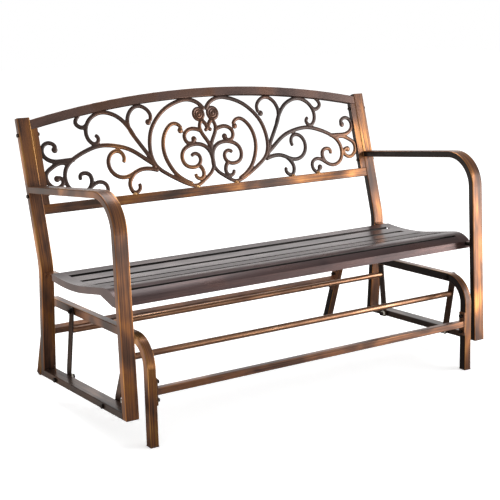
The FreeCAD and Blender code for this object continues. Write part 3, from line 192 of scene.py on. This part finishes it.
# The inner faces of the base sides get painted shade, near black
base_copper = rubbed_copper("rubbed_copper_and_painted_shade_on_base_sides", ALONG_THE_SIDE, BASE_STEPS,
                            wear_and_shade=wear_and_shade_of_side, shift=BASE_SHIFT)
bar_copper = rubbed_copper("rubbed_copper_on_crossbars", ALONG_THE_BENCH, BAR_STEPS)
coat(["base_side_left", "base_side_right"], base_copper)
coat(["base_front_crossbar", "base_rear_crossbar", "base_front_end_plates", "base_rear_end_plates"],
     bar_copper)

# Feet and plugs: moulded brown polyethylene, pressed into the lower ends of the tubes.
# Moulded plastic is dull and even, with a fine grain that the tool leaves on it.

PLASTIC_ROUGHNESS = 0.55

# The real grain is about 0.2 mm. It is drawn at 0.8 mm, so that it shows from near by.
TOOL_GRAIN = 0.8 * MM
TOOL_GRAIN_DETAIL = 2.0
TOOL_GRAIN_RELIEF, TOOL_GRAIN_HEIGHT = 0.25, 0.1 * MM


def moulded_plastic(name, dark, light):
    """Plastic as it comes from the tool: no shine, and two close tones in a fine grain."""
    material = blank_material(name)
    tree = material.node_tree
    place = add(tree, "TexCoord").outputs["Object"]
    noise = add(tree, "TexNoise", inputs={
        "Vector": place, "Scale": 1 / TOOL_GRAIN, "Detail": TOOL_GRAIN_DETAIL})
    relief = add(tree, "Bump", inputs={
        "Height": noise.outputs["Fac"], "Strength": TOOL_GRAIN_RELIEF, "Distance": TOOL_GRAIN_HEIGHT})
    tone = add(tree, "Mix", {"data_type": "RGBA"}, {
        "Factor": noise.outputs["Fac"], "A": linear(dark), "B": linear(light)})
    shader = add(tree, "BsdfPrincipled", inputs={
        "Base Color": tone.outputs["Result"],
        "Roughness": PLASTIC_ROUGHNESS,
        "Normal": relief.outputs["Normal"],
    })
    add(tree, "OutputMaterial", inputs={"Surface": shader.outputs["BSDF"]})
    return material


brown_plastic = moulded_plastic("moulded_polyethylene", "#4a3327", "#573c2d")
coat(["base_front_glides", "base_rear_glides", "bench_foot_plugs"], brown_plastic)

# Swing links: flat steel bars in two pairs, with a round tube welded across each pair, and nylon
# bushes at the pivots. The bars kept little copper. The tubes were rubbed all round, so they are
# the palest metal, and unpainted nylon is a milky white.

LINK_STEPS = [(0.34, "#2e2320"), (0.5, "#46352c"), (0.7, "#75523a")]
TUBE_STEPS = [(0.34, "#654637"), (0.48, "#93684c"), (0.6, "#c39270"), (0.7, "#e6c0a4")]
TUBE_METALLIC = (0.6, 0.95)
TUBE_ROUGHNESS = (0.36, 0.26)

link_copper = rubbed_copper("rubbed_copper_on_links", ALONG_THE_SIDE, LINK_STEPS)
tube_copper = rubbed_copper("rubbed_copper_on_swing_tubes", ALONG_THE_BENCH, TUBE_STEPS,
                            TUBE_METALLIC, TUBE_ROUGHNESS)
nylon = moulded_plastic("moulded_nylon", "#cfcabd", "#d8d4c8")
coat(["front_link_left", "front_link_right", "rear_link_left", "rear_link_right"], link_copper)
coat(["front_cross_tube", "rear_cross_tube"], tube_copper)
coat(["front_upper_bushes", "front_lower_bushes", "rear_upper_bushes", "rear_lower_bushes",
      "lower_pivot_collars"], nylon)

# Bolts, nuts and spacers: zinc plated steel, blackened so that it hides against the brown coat.
# Black plating is smooth and darkly metallic, with small bright glints on the edges.

PLATING_CLOUD = 6 * MM
PLATING_CLOUD_DETAIL = 3.0
PLATING_METALLIC, PLATING_ROUGHNESS = 0.9, 0.35


def black_plating(name):
    """Blackened zinc: near black metal, with faint paler clouds where the black is thin."""
    material = blank_material(name)
    tree = material.node_tree
    place = add(tree, "TexCoord").outputs["Object"]
    noise = add(tree, "TexNoise", inputs={
        "Vector": place, "Scale": 1 / PLATING_CLOUD, "Detail": PLATING_CLOUD_DETAIL})
    tone = add(tree, "Mix", {"data_type": "RGBA"}, {
        "Factor": noise.outputs["Fac"], "A": linear("#1d1917"), "B": linear("#4a403a")})
    shader = add(tree, "BsdfPrincipled", inputs={
        "Base Color": tone.outputs["Result"],
        "Metallic": PLATING_METALLIC,
        "Roughness": PLATING_ROUGHNESS,
    })
    add(tree, "OutputMaterial", inputs={"Surface": shader.outputs["BSDF"]})
    return material


plating = black_plating("black_zinc_plating")
coat(["base_crossbar_bolts", "base_crossbar_nuts", "upper_pivot_bolts", "upper_pivot_spacers",
      "upper_pivot_nuts", "lower_pivot_bolts", "lower_pivot_spacers", "lower_pivot_nuts",
      "seat_nuts", "seat_front_spacers", "back_panel_bolts", "back_panel_nuts"], plating)

# Side frames: on each side a flat steel tube bent into leg and arm, a bent back post, and a rail
# between their feet. Legs, arms and posts show the brightest copper of the bench. The bottom rails
# were rubbed as little as the links.

SIDE_STEPS = [(0.3, "#241a17"), (0.4, "#4a2f20"), (0.47, "#65402a"), (0.54, "#8c5b38"),
              (0.62, "#b77b43"), (0.72, "#dea968")]
SIDE_SHIFT = 5.1

# The inner faces of these tubes get painted shade, near black
side_copper = rubbed_copper("rubbed_copper_and_painted_shade_on_side_tubes", ALONG_THE_SIDE, SIDE_STEPS,
                            wear_and_shade=wear_and_shade_of_side, shift=SIDE_SHIFT)
coat(["left_arm_and_leg", "right_arm_and_leg", "left_back_post", "right_back_post", "post_caps"],
     side_copper)
coat(["left_bottom_rail", "right_bottom_rail"], link_copper)

# Seat: six slats and two side rails of pressed steel sheet, with a strap under the slats, bolted
# between the side frames. The coat is a dark mauve brown. It was rubbed lightly, so it is satin
# with faint streaks along the slats and no bright copper.

# The first, near black step is painted shade, reached mostly on the slats' downturned edges
SEAT_STEPS = [(0.14, "#0d0909"), (0.34, "#3b2a2a"), (0.5, "#4b3736"), (0.7, "#69504b")]
SEAT_METALLIC = (0.45, 0.65)
SEAT_ROUGHNESS = (0.34, 0.26)
SEAT_LACQUER = 0.25
# Painted shade on the slats' downturned edges and undersides, set by how far they tilt from up
EDGE_SHADE = -0.4
EDGE_TILT, TOP_TILT = 0.2, 0.5


def painted_shade_of_slat(tree, copper_level):
    """Painted shade: the downturned edges and undersides of a slat are taken down to near black."""
    normal = add(tree, "SeparateXYZ", inputs={"Vector": add(tree, "NewGeometry").outputs["Normal"]})
    edge_shade = add(tree, "MapRange", SMOOTH, {
        "Value": normal.outputs["Z"], "From Min": EDGE_TILT, "From Max": TOP_TILT,
        "To Min": EDGE_SHADE, "To Max": 0.0})
    return add(tree, "Math", {"operation": "ADD"}, {0: copper_level, 1: edge_shade.outputs["Result"]}).outputs[0]


seat_coat = rubbed_copper("satin_powder_coat_on_seat", ALONG_THE_BENCH, SEAT_STEPS,
                          SEAT_METALLIC, SEAT_ROUGHNESS, SEAT_LACQUER)
slat_coat = rubbed_copper("satin_powder_coat_and_painted_shade_on_slats", ALONG_THE_BENCH, SEAT_STEPS,
                          SEAT_METALLIC, SEAT_ROUGHNESS, SEAT_LACQUER, wear_and_shade=painted_shade_of_slat)
rail_coat = rubbed_copper("satin_powder_coat_on_seat_rails", ALONG_THE_SIDE, SEAT_STEPS,
                          SEAT_METALLIC, SEAT_ROUGHNESS, SEAT_LACQUER)
coat(["seat_front_slat"], seat_coat)
coat(["seat_slat_2", "seat_slat_3", "seat_slat_4", "seat_slat_5", "seat_slat_6",
      "seat_centre_strap"], slat_coat)
coat(["left_seat_rail", "right_seat_rail"], rail_coat)
coat(["seat_rear_brackets", "seat_bolts"], side_copper)

# Backrest frame: an arched top rail, a straight sill and two side bars of rectangular steel tube,
# bolted to the posts. The arch has the least copper, in soft clouds, because a cloth turns as it
# follows a bend.

SOFT_CLOUDS = (False, False, False)
ARCH_STEPS = [(0.34, "#42302b"), (0.5, "#624940"), (0.7, "#8c6752")]
SILL_STEPS = [(0.36, "#3c271a"), (0.48, "#5f3d28"), (0.6, "#8f5d37"), (0.72, "#c58b4c")]

arch_coat = rubbed_copper("rubbed_copper_on_arch", SOFT_CLOUDS, ARCH_STEPS)
sill_copper = rubbed_copper("rubbed_copper_on_sill", ALONG_THE_BENCH, SILL_STEPS)
coat(["back_top_rail"], arch_coat)
coat(["back_bottom_rail"], sill_copper)
coat(["left_side_bar", "right_side_bar"], side_copper)

# Scroll panel: three aluminium castings, a heart and two wings, each of strands that thin a little
# towards their curled tips. They are set in the backrest frame. Cast strands have soft edges, and
# fillets where they join.

PANEL_LEAN = math.radians(17.039)
BOLT_PITCH = 178.5 * MM
STRAND_ROOT = 7.2 * MM
STRAND_TIP = 6.2 * MM
STRAND_DEPTH = 8 * MM

# A strand's section is a little squarer than an oval, which would have 2 here
SECTION_SQUARENESS = 2.6
SECTION_SIDES = 16
STEPS_PER_STRETCH = 6

# The rings of a round end, in shares of the way from its tip to its full width
END_SHARES = (0.25, 0.7)

panel_up = Vector((0, math.sin(PANEL_LEAN), math.cos(PANEL_LEAN)))
panel_out = Vector((0, -math.cos(PANEL_LEAN), math.sin(PANEL_LEAN)))
bolt_low, bolt_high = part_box("back_panel_nuts")
panel_foot = (bolt_low + bolt_high) / 2 - panel_up * BOLT_PITCH / 2

# A strand is a list of points (across, up) in millimetres from midway between the lower bolts.
# These are the strands on the right of the middle, and the left ones mirror them.
HEART = [
    [(5, 218), (24, 238), (62, 250), (103, 243), (144, 225), (179, 196), (204, 161), (216, 120),
     (216, 80), (204, 50), (174, 24), (138, 2), (103, -16), (72, -23), (40, -7), (12, 14), (0, 34)],
    [(0, 30), (0, 55), (6, 80), (25, 100), (52, 107), (80, 103), (102, 89), (110, 66), (102, 45),
     (80, 35), (59, 38), (46, 52), (49, 71), (62, 77), (73, 73)],
    [(53, 38), (43, 24), (42, 8), (53, -3), (66, 0), (71, 9)],
    [(92, -15), (114, -3), (139, 18), (157, 46), (169, 80), (170, 112), (160, 145), (143, 167),
     (125, 177), (108, 174), (98, 163)],
    [(0, 60), (0, 90), (8, 112), (22, 135), (29, 155), (22, 178)],
    [(15, 178), (5, 165), (3, 155), (9, 149)],
    [(27, 148), (43, 154), (63, 156), (79, 150), (89, 138), (89, 124), (81, 113), (68, 111), (59, 118)],
]
WING = [
    [(211, 49), (222, 78), (240, 108), (262, 143), (279, 180), (277, 206), (262, 229), (239, 240),
     (213, 232), (198, 211), (200, 195)],
    [(266, 150), (283, 182), (305, 207), (333, 223), (366, 228), (396, 217), (418, 192), (423, 165),
     (413, 142), (398, 135), (386, 146), (391, 159)],
    [(418, 193), (430, 187), (445, 192), (452, 202), (447, 215), (440, 222)],
    [(212, 56), (242, 78), (284, 107), (336, 124), (385, 128), (431, 117), (470, 100), (502, 75),
     (513, 40), (504, 11), (480, -5), (455, -4), (430, 11), (405, 20), (386, 12), (381, -6),
     (392, -23), (409, -14)],
    [(438, 6), (429, 28), (434, 45), (449, 51), (462, 47), (465, 36)],
    [(478, 94), (515, 93), (540, 94), (558, 101), (571, 116), (571, 134), (560, 147), (544, 149),
     (530, 139), (532, 126)],
    [(495, 84), (530, 86), (552, 75), (569, 61), (572, 43), (564, 26), (548, 16), (529, 20),
     (521, 32), (526, 42), (540, 44)],
    [(205, 38), (235, 45), (262, 44), (295, 31), (322, 26), (350, 37), (365, 62), (361, 90),
     (340, 107), (319, 103), (311, 88), (313, 75)],
    [(280, 38), (298, 20), (305, 5), (304, -10), (295, -23), (281, -21), (272, -9), (273, -2)],
]


def smooth_line(points):
    """Places and directions along a cubic curve through the points, which bends without kinks."""
    knots = np.array(points, float) * MM
    chord = np.concatenate([[0], np.cumsum(np.linalg.norm(np.diff(knots, axis=0), axis=1))])
    gaps = np.diff(chord)
    count = len(knots)
    matrix, right = np.eye(count), np.zeros((count, 2))
    for i in range(1, count - 1):
        matrix[i, i - 1:i + 2] = gaps[i - 1], 2 * (gaps[i - 1] + gaps[i]), gaps[i]
        right[i] = 6 * ((knots[i + 1] - knots[i]) / gaps[i] - (knots[i] - knots[i - 1]) / gaps[i - 1])
    matrix[0, 1] = matrix[-1, -2] = -1
    bend = np.linalg.solve(matrix, right)
    places, directions = [], []
    for i, gap in enumerate(gaps):
        steps = np.linspace(0, gap, STEPS_PER_STRETCH, endpoint=False).tolist()
        if i == len(gaps) - 1:
            steps.append(gap)
        for t in steps:
            s = gap - t
            places.append((bend[i] * s ** 3 + bend[i + 1] * t ** 3) / (6 * gap)
                          + (knots[i] / gap - bend[i] * gap / 6) * s
                          + (knots[i + 1] / gap - bend[i + 1] * gap / 6) * t)
            directions.append((bend[i + 1] * t ** 2 - bend[i] * s ** 2) / (2 * gap)
                              - (knots[i] / gap - bend[i] * gap / 6)
                              + (knots[i + 1] / gap - bend[i + 1] * gap / 6))
    return np.array(places), np.array(directions) / np.linalg.norm(directions, axis=1)[:, None]


def on_panel(across, up, out):
    """A point of the panel in the bench's own frame."""
    return panel_foot + Vector((across, 0, 0)) + panel_up * up + panel_out * out


def section_ring(mesh, place, direction, half, depth):
    """One ring of a strand: a rounded oblong, half wide to each side and depth thick."""
    normal = np.array((-direction[1], direction[0]))
    ring = []
    for step in range(SECTION_SIDES):
        angle = 2 * math.pi * step / SECTION_SIDES
        c, s = math.cos(angle), math.sin(angle)
        wide = half * math.copysign(abs(c) ** (2 / SECTION_SQUARENESS), c)
        thick = depth / 2 * math.copysign(abs(s) ** (2 / SECTION_SQUARENESS), s)
        spot = place + normal * wide
        ring.append(mesh.verts.new(on_panel(spot[0], spot[1], thick)))
    return ring


def join_rings(mesh, rings):
    """Faces from each ring of points to the next. A ring at a pole is a single point."""
    for ring, following in zip(rings, rings[1:]):
        count = max(len(ring), len(following))
        for i in range(count):
            j = (i + 1) % count
            if len(ring) == 1:
                mesh.faces.new((ring[0], following[j], following[i]))
            elif len(following) == 1:
                mesh.faces.new((ring[i], ring[j], following[0]))
            else:
                mesh.faces.new((ring[i], ring[j], following[j], following[i]))


def cast_strand(mesh, points):
    """A closed strand that thins from its root to its tip, with round ends."""
    places, directions = smooth_line(points)
    halves = np.linspace(STRAND_ROOT, STRAND_TIP, len(places))
    rings = []
    for share in END_SHARES:
        half = STRAND_ROOT * math.sqrt(1 - (1 - share) ** 2)
        rings.append(section_ring(mesh, places[0] - directions[0] * STRAND_ROOT * (1 - share),
                                  directions[0], half, STRAND_DEPTH * half / STRAND_ROOT))
    for place, direction, half in zip(places, directions, halves):
        rings.append(section_ring(mesh, place, direction, half, STRAND_DEPTH))
    for share in END_SHARES[::-1]:
        half = STRAND_TIP * math.sqrt(1 - (1 - share) ** 2)
        rings.append(section_ring(mesh, places[-1] + directions[-1] * STRAND_TIP * (1 - share),
                                  directions[-1], half, STRAND_DEPTH * half / STRAND_TIP))
    join_rings(mesh, rings)
    mesh.faces.new(rings[0][::-1])
    mesh.faces.new(rings[-1])


# Some strands end in a small bud, and two in a large rosette. A bud has a domed face, and a rosette
# has rings like a coil. Their profiles go from the middle out, in shares of the radius and depth.
HEART_BUDS = [(101, 154), (57, 123)]
WING_BUDS = [(209, 188), (411, -10), (532, 128), (539, 42)]
BUD_RADIUS = 10.5 * MM
ROSETTE = (26, 201)
ROSETTE_RADIUS = 25 * MM
DOME = [(0.0, 1.0), (0.45, 0.9), (0.8, 0.62), (0.96, 0.2)]
COIL = [(0.0, 1.0), (0.14, 0.95), (0.27, 0.3), (0.41, 0.95), (0.56, 0.3), (0.71, 0.85), (0.86, 0.6),
        (0.96, 0.2)]
BUTTON_SIDES = 32


def cast_button(mesh, across, up, radius, front):
    """A round button with the profile on its front and a dome on its back."""
    rings = []
    for share, height in front + [(s, -h) for s, h in DOME[::-1]]:
        ring = []
        for step in range(BUTTON_SIDES if share else 1):
            angle = 2 * math.pi * step / BUTTON_SIDES
            ring.append(mesh.verts.new(on_panel(across * MM + radius * share * math.cos(angle),
                                                up * MM + radius * share * math.sin(angle),
                                                STRAND_DEPTH / 2 * height)))
        rings.append(ring)
    join_rings(mesh, rings)


def object_of(mesh, name):
    """An object made of the drawn mesh, with its faces looking outward."""
    bmesh.ops.recalc_face_normals(mesh, faces=mesh.faces)
    data = bpy.data.meshes.new(name)
    mesh.to_mesh(data)
    mesh.free()
    drawn = bpy.data.objects.new(name, data)
    bpy.context.scene.collection.objects.link(drawn)
    return drawn


def mirrored(points):
    """The same points on the other side of the middle."""
    return [(-across, up) for across, up in points]


SKIN_STEP = 1.4 * MM
FILLET_SOFTNESS, FILLET_ROUNDS = 0.5, 4


def casting(name, strands, buds, rosettes):
    """One casting: its strands under one skin, with soft fillets where they meet."""
    mesh = bmesh.new()
    for points in strands:
        cast_strand(mesh, points)
    for across, up in buds:
        cast_button(mesh, across, up, BUD_RADIUS, DOME)
    for across, up in rosettes:
        cast_button(mesh, across, up, ROSETTE_RADIUS, COIL)
    cast = object_of(mesh, name)
    skin = cast.modifiers.new("skin", "REMESH")
    skin.mode = "VOXEL"
    skin.voxel_size = SKIN_STEP
    soften = cast.modifiers.new("soften", "SMOOTH")
    soften.factor = FILLET_SOFTNESS
    soften.iterations = FILLET_ROUNDS
    final = bpy.data.meshes.new_from_object(cast.evaluated_get(bpy.context.evaluated_depsgraph_get()))
    cast.modifiers.clear()
    cast.data = final
    final.polygons.foreach_set("use_smooth", [True] * len(final.polygons))
    final.materials.clear()
    final.materials.append(cast_coat)
    return cast


# Rubbed paint lies thin on a casting: dark brown, with soft clouds of copper on every side
CAST_STEPS = [(0.34, "#2c1f1a"), (0.5, "#47322a"), (0.6, "#6b4a38"), (0.7, "#a3724a")]
cast_coat = rubbed_copper("rubbed_copper_on_castings", SOFT_CLOUDS, CAST_STEPS)

castings = {
    "left_scroll": ([mirrored(points) for points in WING], mirrored(WING_BUDS), []),
    "right_scroll": (WING, WING_BUDS, []),
    "scroll_heart": (HEART + [mirrored(points) for points in HEART],
                     HEART_BUDS + mirrored(HEART_BUDS), [ROSETTE] + mirrored([ROSETTE])),
}
for node_name, (strands, buds, rosettes) in castings.items():
    piece = casting(node_name + "_casting", strands, buds, rosettes)
    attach(piece, "bench")
    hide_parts(node_name)

# Weld dabs: six small beads of filler that fix the castings to the sill, rubbed bright with copper
# paint. A bead is low and a little lumpy, because it froze where the torch stopped.

# Places on the panel in millimetres, as the strands have them
DAB_PLACES = [(-398, -29), (-295, -29), (-72, -29), (72, -29), (295, -29), (398, -29)]
DAB_HALF = Vector((8.0, 5.5, 6.5)) * MM
DAB_FORWARD = 3 * MM
DAB_LUMPS, DAB_LUMP_COUNT = 0.16, 3
DAB_ROWS, DAB_SIDES = 8, 20
DAB_STEPS = [(0.34, "#8a5f3c"), (0.5, "#c08a52"), (0.66, "#e6bd84")]


def weld_dab(mesh, across, up):
    """A closed lumpy bead, wider than it is high, which laps over the sill's front edge."""
    rings = []
    for row in range(DAB_ROWS, -1, -1):
        tilt = math.pi * row / DAB_ROWS
        ring = []
        for step in range(1 if row in (0, DAB_ROWS) else DAB_SIDES):
            turn = 2 * math.pi * step / DAB_SIDES
            swell = 1 + DAB_LUMPS * math.sin(DAB_LUMP_COUNT * turn + across) * math.sin(2 * tilt)
            ring.append(mesh.verts.new(on_panel(
                across * MM + DAB_HALF.x * swell * math.sin(tilt) * math.cos(turn),
                up * MM + DAB_HALF.y * swell * math.sin(tilt) * math.sin(turn),
                DAB_FORWARD + DAB_HALF.z * math.cos(tilt))))
        rings.append(ring)
    join_rings(mesh, rings)


dab_mesh = bmesh.new()
for across, up in DAB_PLACES:
    weld_dab(dab_mesh, across, up)
dabs = object_of(dab_mesh, "sill_weld_dabs")
dabs.data.polygons.foreach_set("use_smooth", [True] * len(dabs.data.polygons))
dabs.data.materials.append(rubbed_copper("rubbed_copper_on_weld_dabs", SOFT_CLOUDS, DAB_STEPS))
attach(dabs, "bench")

# Studio: a matt white floor in white surroundings, with a softbox to the right, one above and one
# behind. They light the bench plainly and leave a soft shadow under it.

WHITE = linear("#ffffff")
FLOOR_HALF = 12.0
FLOOR_ROUGHNESS = 0.95
WORLD_FILL = 0.75

# The floor has a little light of its own for the camera, so that only the shadow is grey
FLOOR_GLOW = 0.42

# Polished tubes see darker cloth all round instead, and a floor that is bright only in front of the
# bench on the right, and along its left side
FLOOR_IN_TUBES, CLOTH_IN_TUBES = 0.12, 0.3
FRONT_FLOOR_FROM, FRONT_FLOOR_TO = -0.3, -0.9
RIGHT_FLOOR_FROM, RIGHT_FLOOR_TO, RIGHT_FLOOR_GLOW = 0.1, 1.6, 4.0
LEFT_FLOOR_FROM, LEFT_FLOOR_TO, LEFT_FLOOR_GLOW = -0.55, -1.1, 1.1

floor_corners = [(-FLOOR_HALF, -FLOOR_HALF, 0), (FLOOR_HALF, -FLOOR_HALF, 0),
                 (FLOOR_HALF, FLOOR_HALF, 0), (-FLOOR_HALF, FLOOR_HALF, 0)]
floor_mesh = bpy.data.meshes.new("floor")
floor_mesh.from_pydata(floor_corners, [], [(0, 1, 2, 3)])
floor = bpy.data.objects.new("floor", floor_mesh)
bpy.context.scene.collection.objects.link(floor)

# Matt floor paint: an even white without gloss, which takes a soft shadow
floor_paint = blank_material("white_floor_paint")
tree = floor_paint.node_tree
rays = add(tree, "LightPath").outputs
glow = add(tree, "Math", {"operation": "MULTIPLY"}, {0: rays["Is Camera Ray"], 1: FLOOR_GLOW})
matt = add(tree, "BsdfPrincipled", inputs={
    "Base Color": linear("#fdfdfd"), "Roughness": FLOOR_ROUGHNESS, "Specular IOR Level": 0.0,
    "Emission Color": WHITE, "Emission Strength": glow.outputs[0]})
spot = add(tree, "SeparateXYZ", inputs={"Vector": add(tree, "TexCoord").outputs["Object"]})
front = add(tree, "MapRange", SMOOTH, {
    "Value": spot.outputs["Y"], "From Min": FRONT_FLOOR_TO, "From Max": FRONT_FLOOR_FROM,
    "To Min": 1.0, "To Max": 0.0})
right = add(tree, "MapRange", SMOOTH, {
    "Value": spot.outputs["X"], "From Min": RIGHT_FLOOR_FROM, "From Max": RIGHT_FLOOR_TO,
    "To Min": 0.0, "To Max": RIGHT_FLOOR_GLOW})
left = add(tree, "MapRange", SMOOTH, {
    "Value": spot.outputs["X"], "From Min": LEFT_FLOOR_TO, "From Max": LEFT_FLOOR_FROM,
    "To Min": LEFT_FLOOR_GLOW, "To Max": FLOOR_IN_TUBES})
lit = add(tree, "Math", {"operation": "MULTIPLY_ADD"}, {
    0: front.outputs["Result"], 1: right.outputs["Result"], 2: left.outputs["Result"]})
mirror_floor = add(tree, "Emission", inputs={"Color": linear("#fff6ee"), "Strength": lit.outputs[0]})
blend = add(tree, "MixShader", inputs={
    0: rays["Is Glossy Ray"], 1: matt.outputs[0], 2: mirror_floor.outputs[0]})
add(tree, "OutputMaterial", inputs={"Surface": blend.outputs[0]})
floor.data.materials.append(floor_paint)

world = bpy.data.worlds.new("studio")
bpy.context.scene.world = world
world.use_nodes = True
tree = world.node_tree
tree.nodes.clear()
rays = add(tree, "LightPath").outputs
fill = add(tree, "Background", inputs={"Color": WHITE, "Strength": WORLD_FILL})
cloth = add(tree, "Background", inputs={"Color": WHITE, "Strength": CLOTH_IN_TUBES})
backdrop = add(tree, "Background", inputs={"Color": WHITE, "Strength": 1.0})
unseen = add(tree, "MixShader", inputs={
    0: rays["Is Glossy Ray"], 1: fill.outputs[0], 2: cloth.outputs[0]})
blend = add(tree, "MixShader", inputs={
    0: rays["Is Camera Ray"], 1: unseen.outputs[0], 2: backdrop.outputs[0]})
add(tree, "OutputWorld", inputs={"Surface": blend.outputs[0]})


def softbox(name, place, aim, width, height, power):
    """A flat soft lamp that points at a place."""
    light = bpy.data.lights.new(name, "AREA")
    light.shape = "RECTANGLE"
    light.size, light.size_y = width, height
    light.energy = power
    stand = bpy.data.objects.new(name, light)
    stand.location = place
    stand.rotation_euler = (Vector(aim) - Vector(place)).to_track_quat("-Z", "Y").to_euler()
    bpy.context.scene.collection.objects.link(stand)


softbox("right_softbox", place=(3.0, -2.1, 1.0), aim=(0.3, 0, 0.3), width=2.2, height=2.0, power=60)
softbox("top_softbox", place=(0.2, 0.9, 3.0), aim=(0, 0, 0.4), width=2.4, height=1.6, power=45)
softbox("rear_softbox", place=(2.0, 3.3, 1.3), aim=(0.2, 0, 0.4), width=5.0, height=1.4, power=20)

# Camera: a long lens at the photograph's place, to the front left and a little above the arms.
# Its values were solved together with the places of the bench's parts.

CAMERA_PLACE = (-1.9526, -2.9239, 1.2041)
CAMERA_TURN = (76.957, 0.242, -33.598)
LENS, SENSOR = 84.87, 36

camera_data = bpy.data.cameras.new("camera")
camera_data.lens = LENS
camera_data.sensor_width = SENSOR
camera = bpy.data.objects.new("camera", camera_data)
camera.location = CAMERA_PLACE
camera.rotation_euler = [math.radians(angle) for angle in CAMERA_TURN]
bpy.context.scene.collection.objects.link(camera)
bpy.context.scene.camera = camera
bpy.context.scene.view_settings.view_transform = "Standard"
